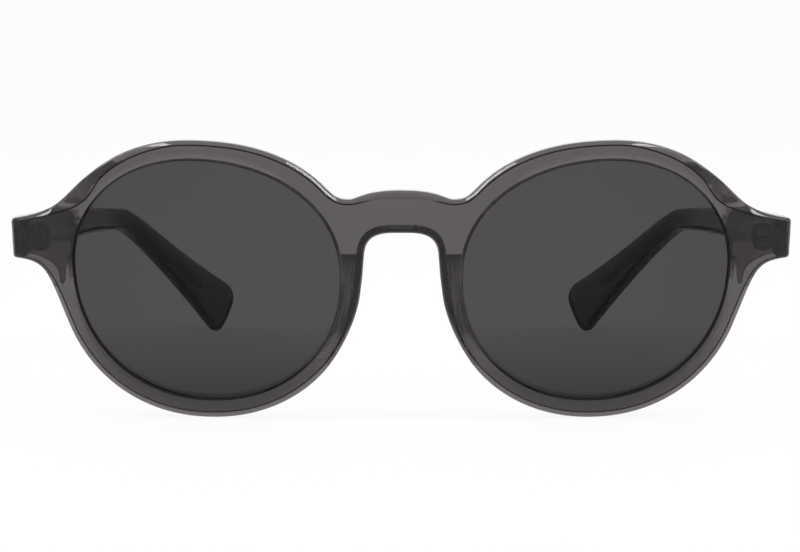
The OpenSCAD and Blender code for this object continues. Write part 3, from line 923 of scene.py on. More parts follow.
@dataclass
class Front:
    """The front: rims, bridge and endpieces in one piece, bent round the face.

    Fields:
        size, shop, outline: the sizes, the workshop and the front's outline.
        crisp: how far from a sharp corner its rounding starts.
        lens_points: how many points go round each opening.
        grid: step between the points that fill the face and the back.
        wall: half the width of the wall round the endpieces' thick backs.
        bridge_x: how far the bridge's own bevels reach from the middle.
        facet_from, facet_over, facet_less: from what width a bevel on the rim gets shallower,
            over how much more width, and by what share at the most.
        least_bevel, least_wall, least_rear: the least back bevel, wall between two bevels and
            depth of the chamfer behind an opening.
        face_round, wall_round: how many times wider than crisp the two front edges are rounded.
        spacing: how far from any loop the points of the grid and the extra points stay.
        pocket_gap: room left round and under the hinge plates.
        points, dark, faces: what is built so far.
    """

    size: Sizes
    shop: Workshop
    outline: Outline
    crisp: float = 0.13
    lens_points: int = 288
    grid: float = 1.3
    wall: float = 0.08
    bridge_x: float = 15.0
    facet_from: float = 1.2
    facet_over: float = 0.9
    facet_less: float = 0.45
    least_bevel: float = 0.14
    least_wall: float = 0.04
    least_rear: float = 0.06
    face_round: float = 1.3
    wall_round: float = 2.7
    spacing: tuple[float, float] = (0.5, 0.12)
    pocket_gap: float = 0.03
    points: list = field(default_factory=list)
    dark: list = field(default_factory=list)
    faces: list = field(default_factory=list)

    def _lug(self) -> np.ndarray:
        """Outline of the thick back of the right endpiece, which ends in a step.

        Returns:
            The loop's points, as x and z.
        """
        s, v = self.size, partial(vec, size=2)
        w, x = s.step_w, s.step_x
        top, low = s.hinge_z + s.endpiece_h / 2 + 0.1, s.hinge_z - s.endpiece_h / 2
        corner = v(x + 0.09 * w, top + 1.3)
        foot = s.lens_at(np.array(-5.0), s.rim_temple * 0.57) + v(s.lens_cx, s.lens_cz)
        end = v(s.half_w - 0.25 * w, low + 0.9)

        def run(*curve: np.ndarray) -> list[np.ndarray]:
            """Points of a cubic curve without its end."""
            return [cubic(*curve, t) for t in np.linspace(0, 1, 13)[:-1]]

        points = [v(s.half_w + 1, top - 0.1)]
        points += run(v(s.half_w - 0.42 * w, top), v(corner[0] + 0.25 * w, top + 0.7),
                      corner + v(0.12 * w, -0.25), corner)
        points += run(corner, corner - v(0.07 * w, 0.15), v(x, top + 0.7), v(x, top - 0.6))
        points += [v(x, top - 0.6), v(x, s.hinge_z - 1.6), foot + v(-0.2, 2.4)]
        points += run(foot, foot + v(0.1, -1.1), foot + v(0.8, -1.3), foot + v(0.9, 0.3))
        points += run(foot + v(0.9, 0.3), foot + v(1, 2.4), end - v(0.35 * w, 0.9), end)
        points += [end, end + v(0.5, -0.7), v(end[0] + 0.6, low - 1), v(s.half_w + 1, low - 1)]
        return np.array(points)

    def _plate(self) -> np.ndarray:
        """Outline of the pocket for the hinge plate, with clipped corners.

        Returns:
            The loop's points, as x and z.
        """
        s, c = self.size, self.size.plate_clip
        w, h = s.plate_w / 2 + self.pocket_gap, s.plate_h / 2 + self.pocket_gap
        half = np.array([(-w, c - h), (c - w, -h), (w - c, -h), (w, c - h)])
        return np.concatenate([half, -half]) + np.array([s.pin_x, s.hinge_z])

    def face(self, p: np.ndarray) -> np.ndarray:
        """Depth of the front's face at points p."""
        return self.size.front_y(p[:, 0])

    def back(self, p: np.ndarray) -> np.ndarray:
        """Depth of the front's back, with the endpieces' thicker parts.

        Args:
            p: points as x and z.

        Returns:
            The depth at each.
        """
        s, x = self.size, np.abs(p[:, 0])
        q, plain = columns(x, p[:, 1]), s.back_y(x)
        flat = s.half_w - 0.71 * s.step_w
        level = s.butt_y - math.tan(math.radians(s.step_slope)) * np.maximum(flat - x, 0)
        share = smooth((depth_in(q, self._lug()) + self.wall) / (2 * self.wall))
        depth = plain + np.maximum(level - plain, 0) * share
        floor = s.butt_y - s.plate_t - self.pocket_gap
        return np.where(depth_in(q, self._plate()) > 0, np.minimum(depth, floor), depth)

    def _keep(self, row: np.ndarray, dark: np.ndarray | float = 0.0) -> np.ndarray:
        """Stores a row of points.

        Args:
            row: the points.
            dark: how much painted shade each has.

        Returns:
            The points' numbers.
        """
        start = sum(len(r) for r in self.points)
        self.points.append(row)
        self.dark.append(np.broadcast_to(dark, len(row)))
        return np.arange(start, start + len(row))

    def _edge_rows(self) -> list[tuple[np.ndarray, np.ndarray]]:
        """Rows of points across the outer edge, with their painted shade.

        Returns:
            The rows from the face to the back.
        """
        s, o, zero = self.size, self.outline.points, np.zeros(len(self.outline.points))
        x, b = np.abs(o[:, 0]), o[:, 2]
        most = np.where(x > self.bridge_x, s.edge_bevel, s.bridge_bevel)
        d = s.bevel_depth * np.sqrt(np.minimum(b, most) / s.edge_bevel)
        # The brow's facet is shallower than the bevel that it widens from
        wide = smooth((b - self.facet_from) / self.facet_over)
        d *= 1 - self.facet_less * wide * (x > self.bridge_x)
        k, kd = np.maximum(o[:, 3], self.least_bevel), np.maximum(o[:, 4], self.least_bevel)
        thick = self.back(o[:, :2]) - s.front_y(o[:, 0])
        # Where the two bevels meet before the wall, the wall draws in to where they cross
        pinch = np.maximum(d + kd - thick + self.least_wall, 0) / (d / b + kd / k)
        low, up = d - pinch * d / b, kd - pinch * kd / k
        middle = (thick - low - up) / 2

        def laid(row: np.ndarray, surface: Callable, way: int) -> np.ndarray:
            """Lays a row of [distance in from the wall, depth] on the face or the back."""
            p = o[:, :2] - self.outline.outward * row[:, :1]
            return columns(p[:, 0], surface(p) + way * row[:, 1], p[:, 1])

        cut = np.full(len(o), self.crisp)
        front = fillet(columns(b + 1.2, zero), columns(b, zero), columns(pinch, low),
                       cut * self.face_round, 5)
        front += fillet(columns(b, zero), columns(pinch, low), columns(pinch, low + middle),
                        cut * self.wall_round)
        back = fillet(columns(pinch, up + middle), columns(pinch, up), columns(k, zero), cut)
        back += fillet(columns(pinch, up), columns(k, zero), columns(k + 1, zero), cut)
        # Painted shade darkens the rounding along the face into a dark crease line, but not on fine
        # bevels nor at the bridge's middle
        crease = smooth((b - 0.45) / 0.15) * smooth((x - 5) / 3)
        rows = [(laid(row, self.face, 1), crease * (0 < j < 5)) for j, row in enumerate(front)]
        return rows + [(laid(row, self.back, -1), zero) for row in back]

    def _opening_rows(self, side: Side) -> list[tuple[np.ndarray, np.ndarray | float]]:
        """Rows of points down a lens opening, with their painted shade.

        Args:
            side: which opening.

        Returns:
            The rows from the face, over the groove, to the back.
        """
        s, c = self.size, self.crisp
        a = np.arange(self.lens_points) * 360.0 / self.lens_points
        middle, line = s.edge_y(s.lens_at(a)), painted_edge_shade(a)

        def at(grow: float | np.ndarray, y: np.ndarray) -> np.ndarray:
            """Points so far outside the opening, at the depths y in the lens's frame."""
            p = s.lens_at(a, grow)
            return s.from_lens(columns(p[:, 0], y, p[:, 1]))

        def on(surface: Callable, grow: float | np.ndarray,
               sink: float | np.ndarray = 0.0) -> np.ndarray:
            """Points on a surface round the opening.

            Args:
                surface: the depth of the face or the back.
                grow: how far outside the opening they lie.
                sink: how far behind the surface they lie.

            Returns:
                The points.
            """
            y = np.zeros(len(a))
            for _ in range(8):
                q = at(grow, y)
                y = y + surface(q[:, [0, 2]]) - q[:, 1]
            return at(grow, y + sink)

        # Painted shade darkens the face's rounding, the wall, the vee and the back's edge into a dark
        # line round the opening
        rows = [
            (on(self.face, c * 1.8), 0.0), (on(self.face, c * 1.1), line),
            (on(self.face, c * 0.3, c * 0.06), np.maximum(line, 0.5)), (on(self.face, 0.0, c), line),
            (at(0.0, middle - s.vee_w), line), (at(s.vee_h, middle), 0.6 * line),
            (at(0.0, middle + s.vee_w), 0.4 * line),
        ]
        # The back chamfer, cut in the rim alone and no more than eased beside the thick back
        thick = inside(on(self.back, 0.0)[:, [0, 2]], self._lug())
        depth = np.where(thick, self.least_rear, np.maximum(s.rear_d(a), self.least_rear))
        width = depth * s.rear_bevel / s.rear_depth
        ease = np.minimum(0.08 / width, 0.3)
        rows.append((on(self.back, 0.0, -depth * (1 + ease)), 0.4 * line))
        rows += [(on(self.back, width * t, -depth * (1 - t)), 0.0) for t in (ease, 1 - ease)]
        rows.append((on(self.back, width * (1 + ease)), 0.0))
        return [(side.mirrored(row), dark) for row, dark in rows]

    def _fill(self, rims: list[tuple[np.ndarray, np.ndarray]], extra: np.ndarray,
              surface: Callable[[np.ndarray], np.ndarray]) -> None:
        """Fills the face or the back between its rims.

        Args:
            rims: the outer rim, then the openings, as their points and the points' numbers.
            extra: further points that the surface needs, as x and z.
            surface: depth of the surface at points.
        """
        loops = [points[:, [0, 2]] for points, _ in rims]

        def within(p: np.ndarray) -> np.ndarray:
            """Which points are inside the outer loop and outside the openings."""
            return inside(p, loops[0]) & ~inside(p, loops[1]) & ~inside(p, loops[2])

        lo, hi = loops[0].min(0), loops[0].max(0)
        xs, zs = np.arange(lo[0], hi[0], self.grid), np.arange(lo[1], hi[1], self.grid * ROW)
        grid = [(x + (j % 2) * self.grid / 2, z) for j, z in enumerate(zs) for x in xs]
        clear = np.repeat(self.spacing, (len(grid), len(extra)))
        grid = np.concatenate([np.array(grid), extra])
        edge = np.minimum.reduce([distance(grid, loop) for loop in loops])
        grid = grid[within(grid) & (edge > clear)]
        inner = self._keep(columns(grid[:, 0], surface(grid), grid[:, 1]))
        number = np.concatenate([*(numbers for _, numbers in rims), inner])
        edges, start = [], 0
        for n in map(len, loops):
            edges += [(start + i, start + (i + 1) % n) for i in range(n)]
            start += n
        flat = [Vector(p) for p in np.concatenate([*loops, grid]).tolist()]
        verts, _, tris, origin, _, _ = delaunay_2d_cdt(flat, edges, [], 0, 1e-7)
        tris = np.array([t for t in tris if len(t) == 3])
        keep = within(np.array([tuple(v) for v in verts])[tris].mean(1))
        first = np.array([number[o[0]] if o else -1 for o in origin])[tris[keep]]
        self.faces += first[first.min(1) >= 0].tolist()

    def _lug_points(self) -> np.ndarray:
        """Points along the walls of both endpieces' thicker parts and plate pockets.

        Returns:
            The points, as x and z.
        """
        rows = []
        for loop, offsets, step in (
            (self._lug(), (-0.09, -0.04, 0.04, 0.09), 0.4), (self._plate(), (-0.02, 0.02), 0.3),
        ):
            for p, q in zip(loop, np.roll(loop, -1, 0), strict=True):
                d = q - p
                length = float(np.linalg.norm(d))
                if length < TINY:
                    continue
                normal = np.array([d[1], -d[0]]) / length
                count = max(1, int(length / step))
                for i in range(count):
                    rows += [p + d * (i + 0.5) / count + normal * o for o in offsets]
        right = np.array(rows)
        return np.concatenate([right, right * np.array([-1.0, 1.0])])

    def build(self, material: bpy.types.Material) -> None:
        """Builds the front.

        Args:
            material: the acetate.
        """
        first, last = [], []
        for rows in (self._edge_rows(), *map(self._opening_rows, Side)):
            numbers = [self._keep(*row) for row in rows]
            self.faces += strip(numbers)
            first.append((rows[0][0], numbers[0]))
            last.append((rows[-1][0], numbers[-1]))
        self._fill(first, np.zeros((0, 2)), self.face)
        self._fill(last, self._lug_points(), self.back)
        piece = self.shop.mesh("front_shell", np.concatenate(self.points), self.faces,
                               np.concatenate(self.dark))
        piece.modifiers.new("Even shading", "WEIGHTED_NORMAL").keep_sharp = True
        self.shop.finish(piece, material, "front", "acetate", "front_frame")


@dataclass
class Lens:
    """A tinted lens, snapped into its groove.

    Fields:
        size, shop, side: the sizes, the workshop and the side that it is on.
        around, rings: how many points go round it, and how many even rings each face has.
        last: shares of the radius at the last rings. The painted shade along its edge starts at the
            second.
    """

    size: Sizes
    shop: Workshop
    side: Side
    around: int = 240
    rings: int = 22
    last: tuple[float, float, float] = (0.985, 0.996, 1.0)

    def build(self, material: bpy.types.Material) -> None:
        """Builds the lens from its two curved faces and its edge with a vee.

        Args:
            material: the tinted plastic.
        """
        s, n, gap = self.size, self.around, self.size.lens_gap
        a = np.arange(n) * 360.0 / n
        middle = s.edge_y(s.lens_at(a))
        centre = s.lens_base_r - s.lens_proud

        def curved(share: float, radius: float) -> np.ndarray:
            """A ring on one of the two faces."""
            p = s.lens_at(a, -gap) * share
            return columns(p[:, 0], centre - np.sqrt(radius**2 - np.sum(p * p, -1)), p[:, 1])

        def edge(grow: float, y: np.ndarray) -> np.ndarray:
            """A ring on the edge."""
            p = s.lens_at(a, grow)
            return columns(p[:, 0], y, p[:, 1])

        shares = [*np.linspace(1 / self.rings, self.last[0], self.rings), *self.last[1:]]
        rows = [curved(t, s.lens_base_r) for t in shares]
        rows += [edge(-gap, middle - s.vee_w + gap), edge(s.vee_h - gap, middle),
                 edge(-gap, middle + s.vee_w - gap)]
        rows += [curved(t, s.lens_base_r - s.lens_t) for t in shares[::-1]]
        poles = np.array([[0, centre - s.lens_base_r, 0], [0, centre - s.lens_base_r + s.lens_t, 0]])
        points = np.concatenate([*rows, poles])
        dark = np.zeros(len(points))
        # Painted shade along the lens's edge, darkest below the temple side
        dark[(len(shares) - 1) * n:(len(shares) + 3) * n] = np.tile(painted_edge_shade(a), 4)
        numbers = [np.arange(i * n, (i + 1) * n) for i in range(len(rows))]
        faces, pole = strip(numbers), len(rows) * n
        faces += columns(pole, numbers[0], np.roll(numbers[0], -1)).tolist()
        faces += columns(pole + 1, np.roll(numbers[-1], -1), numbers[-1]).tolist()
        word = self.side.word
        piece = self.shop.mesh(f"{word}_lens_blank", s.from_lens(points), faces, dark, self.side)
        self.shop.finish(piece, material, "front", "lens_tint", f"{word}_lens")


@dataclass
class NosePad:
    """A nose pad, lofted from top to bottom and glued behind the rim."""

    size: Sizes
    shop: Workshop
    outline: Outline
    side: Side
    steps: int = 24

    def _section(self, t: float) -> np.ndarray:
        """Closed section of the pad.

        Args:
            t: the share of the way down.

        Returns:
            The section's points, from its seat beside the nose round to its far seat.
        """
        s = self.size
        z = s.lens_cz + s.pad_rise - s.pad_h * t
        fall = 1 if t < 0.4 else 1 - ((t - 0.4) / 0.62) ** 2
        d = s.pad_depth * max(0.06, min(t / (s.pad_cap / s.pad_h), fall))
        seat = s.lens_at(np.arange(100, 261, 5.0))
        order = np.argsort(seat[:, 1])
        edge = s.lens_cx + np.interp(z - s.lens_cz, seat[order, 1], seat[order, 0])
        out = edge - (s.front_t + 1 - float(s.front_y(s.lens_cx))) * math.tan(s.lens_turn) - 0.15
        side = self.outline.nose_side(z, 0)
        inner = side + self.outline.nose_side(z, 3)
        w = out - inner
        ridge = side + s.pad_splay * (1 - ((t - 0.38) / 0.6) ** 2) - inner
        r, e = max(0.12, min(0.5, ridge / w)), s.pad_edge / s.pad_depth
        y = float(s.back_y(out)) + s.glue_gap
        ring = [(0, 0), (0.45 * r, 0.5), (0.85 * r, 0.86), (r + 0.08, 0.98), (r + 0.2, 0.93),
                (0.84, e + 0.08), (0.94, e * 0.85), (1, e * 0.45), (1, 0)]
        return np.array([(inner + f * w, y + g * d, z) for f, g in ring])

    def build(self, material: bpy.types.Material) -> None:
        """Builds the pad.

        Args:
            material: the acetate.
        """
        cap = self.size.pad_cap / self.size.pad_h
        rings = [self._section(t) for t in (0.0, *np.linspace(cap, 1, self.steps))]
        n, word = len(rings[0]), self.side.word
        numbers = [np.arange(i * n, (i + 1) * n) for i in range(len(rings))]
        faces = strip(numbers) + [numbers[0][::-1].tolist(), numbers[-1].tolist()]
        # Painted shade darkens its top and its slope towards the nose
        dark = np.zeros((len(rings), n))
        dark[:, 1:4] = 0.35
        dark[:2, 1:-1] = 0.5
        piece = self.shop.mesh(f"{word}_pad_body", np.concatenate(rings), faces, dark.ravel(),
                               self.side, sharp=180)
        crease = piece.data.attributes.new("crease_edge", "FLOAT", "EDGE")
        for edge in piece.data.edges:
            ring, spot = np.divmod(edge.vertices[:], n)
            seated, on_cap = set(spot) <= {0, n - 1}, ring[0] == ring[1] < 2
            crease.data[edge.index].value = 0.9 if seated or on_cap else 0.0
        smoothing = piece.modifiers.new("Round the pad", "SUBSURF")
        smoothing.levels = smoothing.render_levels = 2
        self.shop.finish(piece, material, "front", "pad_acetate", f"{word}_nose_pad")


class LineTree:
    """Geometry Nodes that sweep a section along a temple's middle line.

    The line runs level from the hinge, eases into the drop over the ear, leans in towards the
    head and curls round behind it. The temple and its core wire use the same tree.
    """

    LINE = ("start_y", "hinge_z", "bend_run", "bend_fall", "bend_soft", "tip_l", "tip_z", "drop_run",
            "drop_rise", "middle_x", "toe", "curl_early", "curl_r", "shift_y")
    SECTION = ("begin", "end", "crowding", "thickness", "hinge_h", "bend_h", "tip_h", "widening",
               "top_round", "low_round", "edge_round", "outer_n", "inner_n", "square_to")

    def __init__(self, size: Sizes, along: int = 260, around: int = 56) -> None:
        """Builds the tree.

        Args:
            size: the pair's sizes, with those named in LINE.
            along, around: how many steps the skin has each way.
        """
        self.size = size
        self.bend_t = size.bend_t
        self.tree = bpy.data.node_groups.new("Sweep along the temple line", "GeometryNodeTree")
        sockets = [(name, "INPUT", "Float") for name in (*self.LINE, *self.SECTION)]
        sockets += [("finish", "INPUT", "Material"), ("Geometry", "OUTPUT", "Geometry")]
        for name, way, kind in sockets:
            self.tree.interface.new_socket(name=name, in_out=way, socket_type=f"NodeSocket{kind}")
        self.patch = Patch(self.tree)
        group = self.patch.node("NodeGroupInput")
        self.given = SimpleNamespace(**{
            name: Calc(self.patch, group.outputs[name]) for name in (*self.LINE, *self.SECTION)
        })
        self._wire(group, along, around)

    def _line(self, t: Calc) -> tuple[Calc, ...]:
        """Point of the middle line, and its direction there.

        Args:
            t: the share of the way along.

        Returns:
            x, y, z and the three parts of the direction.
        """
        g, rest = self.given, 1 - self.bend_t
        u, v = t / self.bend_t, (t - self.bend_t) / rest
        y1 = g.start_y + g.bend_run * u
        z1 = g.hinge_z - g.bend_fall * u * (u * 2 + 1) / 3
        slope = g.bend_fall / g.bend_run * (5 / 3)
        y, z = g.start_y + g.bend_run, g.hinge_z - g.bend_fall
        ys = [y, y + g.bend_soft, y + g.tip_l - g.drop_run, y + g.tip_l]
        zs = [z, z - g.bend_soft * slope, g.tip_z + g.drop_rise, g.tip_z]
        late = t > self.bend_t
        ty, tz = self._either(late, cubic(*ys, v), y1), self._either(late, cubic(*zs, v), z1)
        dy = self._either(late, self._rate(ys, v) / rest, g.bend_run / self.bend_t)
        fall = g.bend_fall * (u * 4 + 1) * (-1 / 3 / self.bend_t)
        dz = self._either(late, self._rate(zs, v) / rest, fall)
        past = self.patch.math("MAXIMUM", ty - (y - g.curl_early), 0.0)
        tx = g.middle_x - (ty - g.start_y) * g.toe - past * past / g.curl_r / 2
        dx = (g.toe + past / g.curl_r) * dy * -1
        return tx, ty, tz, dx, dy, dz

    def _either(self, mask: Calc, yes: Calc | float, no: Calc | float) -> Calc:
        """The first value where the mask is 1, else the second."""
        return mask * yes + (1 - mask) * no

    def _rate(self, c: Sequence[Calc], t: Calc) -> Calc:
        """Rate of change of a cubic curve at t."""
        s = 1 - t
        return ((c[1] - c[0]) * (s * s) + (c[2] - c[1]) * (s * t * 2) + (c[3] - c[2]) * (t * t)) * 3

    def _taken(self, left: Calc, radius: Calc) -> Calc:
        """How much a rounded corner takes off at the distance left from the end."""
        rest = radius - self.patch.math("MINIMUM", left, radius)
        return radius - self.patch.math("SQRT", radius * radius - rest * rest)

    def _signed_power(self, value: Calc, power: Calc) -> Calc:
        """Power of a value that keeps its sign."""
        return self.patch.math("SIGN", value) * self.patch.math("ABSOLUTE", value) ** power

    def _length(self, x: Calc, y: Calc, z: Calc) -> Calc:
        """Length of a vector."""
        return self.patch.math("SQRT", x * x + y * y + z * z)

    def _wire(self, group: bpy.types.Node, along: int, around: int) -> None:
        """Wires the tree.

        Args:
            group: the tree's input node.
            along, around: how many steps the skin has each way.
        """
        p, g = self.patch, self.given
        tube = p.node("GeometryNodeMeshCylinder", {"fill_type": "NGON"}, {
            "Vertices": around, "Side Segments": along, "Fill Segments": 1, "Radius": 1.0,
            "Depth": 1.0,
        })
        spot = p.node("ShaderNodeSeparateXYZ", values={0: p.node("GeometryNodeInputPosition")})
        px, py, pz = (Calc(p, spot.outputs[i]) for i in range(3))
        whole = 1 - (1 - (pz + 0.5)) ** g.crowding
        t = g.begin + (g.end - g.begin) * whole
        x, y, z, dx, dy, dz = self._line(t)
        length = self._length(dx, dy, dz)
        tx, ty, tz = dx / length, dy / length, dz / length
        level = p.math("SQRT", tx * tx + ty * ty)
        ax, ay = ty / level, tx / level * -1
        # The first ring stands square to the pair, so that the temple's end butts flat
        turned = p.math("MINIMUM", 1.0, t / g.square_to)
        ux, uy, uz = ay * tz, ax * tz * -1, ax * ty - ay * tx
        ax, ay = ax * turned + (1 - turned), ay * turned
        ux, uy, uz = ux * turned, uy * turned, uz * turned + (1 - turned)
        ex, ey, ez, *_ = self._line(g.end)
        left = self._length(x - ex, y - ey, z - ez)
        v = p.math("MAXIMUM", (t - self.bend_t) / (1 - self.bend_t), 0.0)
        before = g.hinge_h + (g.bend_h - g.hinge_h) * (t / self.bend_t) ** 1.1
        after = g.bend_h + (g.tip_h - g.bend_h) * v ** g.widening
        height = self._either(t > self.bend_t, after, before) / 2
        top, low = (height - self._taken(left, corner) for corner in (g.top_round, g.low_round))
        half = g.thickness / 2 - self._taken(left, g.edge_round) * 0.6
        power = 2 / self._either(px > 0.0, g.outer_n, g.inner_n)
        q0 = half * self._signed_power(px, power)
        q1 = self._either(py > 0.0, top, low) * self._signed_power(py, power)
        place = p.node("ShaderNodeCombineXYZ", values={
            0: (x + q0 * ax + q1 * ux) * MM,
            1: (y + q0 * ay + q1 * uy) * MM + g.shift_y,
            2: (z + q1 * uz) * MM,
        })
        moved = p.node("GeometryNodeSetPosition", values={"Geometry": tube, "Position": place})
        real = p.node("GeometryNodeRealizeInstances", values={0: moved})
        dressed = p.node("GeometryNodeSetMaterial",
                         values={"Geometry": real, "Material": group.outputs["finish"]})
        p.node("NodeGroupOutput", values={0: dressed})

    def make(self, name: str, finish: bpy.types.Material, section: dict) -> bpy.types.Mesh:
        """Runs the tree once.

        Args:
            name: the mesh's name.
            finish: the material.
            section: the value of every input named in SECTION.

        Returns:
            A plain mesh, with nothing live on it.
        """
        values = {**section, "finish": finish}
        values.update((line, float(getattr(self.size, line))) for line in self.LINE)
        carrier = link(name, bpy.data.meshes.new(name))
        modifier = carrier.modifiers.new("Sweep", "NODES")
        modifier.node_group = self.tree
        for item in self.tree.interface.items_tree:
            if item.item_type == "SOCKET" and item.in_out == "INPUT":
                modifier[item.identifier] = values[item.name]
        graph = bpy.context.evaluated_depsgraph_get()
        mesh = bpy.data.meshes.new_from_object(carrier.evaluated_get(graph), depsgraph=graph)
        carrier.modifiers.remove(modifier)
        bpy.data.objects.remove(carrier)
        return mesh


@dataclass
class Temple:
    """A temple with its core wire, on one body."""

    size: Sizes
    shop: Workshop
    line: LineTree
    side: Side

    def _piece(self, name: str, material: bpy.types.Material, slot: str, node: str,
               **section: float) -> None:
        """Builds one piece.

        Args:
            name: the piece's name, after its side.
            material: its finish.
            slot: the record's material slot.
            node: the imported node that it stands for, after its side.
            section: the numbers of its section.
        """
        word = self.side.word
        data = self.line.make(name, material, section)
        data.name = f"{word}_{name}"
        if self.side is Side.LEFT:
            data.transform(Matrix.Scale(-1, 4, (1, 0, 0)))
        with edited(data) as build:
            bmesh.ops.recalc_face_normals(build, faces=build.faces)
        piece = self.shop.place(data, 40)
        self.shop.finish(piece, material, Workshop.BODY[self.side], slot, f"{word}_{node}")

    def build(self, acetate: bpy.types.Material, core: bpy.types.Material) -> None:
        """Builds the temple and its core wire.

        Args:
            acetate: the temple's plastic.
            core: the core wire's metal.
        """
        s = self.size
        self._piece(
            "temple_arm", acetate, "acetate", "temple", begin=0.0, end=1.0, crowding=1.3,
            thickness=s.temple_t, hinge_h=s.endpiece_h, bend_h=s.temple_h_bend, tip_h=s.paddle_h,
            widening=s.paddle_late, top_round=s.tip_top_r, low_round=s.tip_low_r, edge_round=1.0,
            outer_n=5.2, inner_n=2.9, square_to=0.02,
        )
        self._piece(
            "core_bar", core, "core_metal", "core_wire", begin=s.core_from, end=s.core_to,
            crowding=1.0, thickness=s.core_t, hinge_h=s.core_h, bend_h=s.core_h * 0.82,
            tip_h=s.core_h * 0.72, widening=1.0, top_round=0.5, low_round=0.5, edge_round=0.3,
            outer_n=5.0, inner_n=5.0, square_to=0.001,
        )


@dataclass
class Fitting:
    """A small metal fitting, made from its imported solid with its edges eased.

    Fields:
        shop, node, body, slot: the workshop, and the fitting's node, body and material slot.
        ease: how wide its edges are eased.
        flat, sharp: the angles in degrees under which faces are joined and over which edges
            are eased.
    """

    shop: Workshop
    node: str
    body: str
    slot: str
    ease: float = 0.05
    flat: float = 1.0
    sharp: float = 35.0

    def build(self, frame: dict, material: bpy.types.Material) -> None:
        """Copies the solid, eases its edges and puts it in the solid's place.

        Args:
            material: the metal.
        """
        data = frame["nodes"][self.node].data.copy()
        data.name = f"{self.node}_part"
        with edited(data) as build:
            bmesh.ops.dissolve_limit(build, angle_limit=math.radians(self.flat),
                                     verts=build.verts, edges=build.edges)
        piece = self.shop.place(data, 30)
        bevel = piece.modifiers.new("Eased edges", "BEVEL")
        bevel.width = self.ease * MM
        bevel.segments = 2
        bevel.limit_method = "ANGLE"
        bevel.angle_limit = math.radians(self.sharp)
        self.shop.finish(piece, material, self.body, self.slot, self.node)


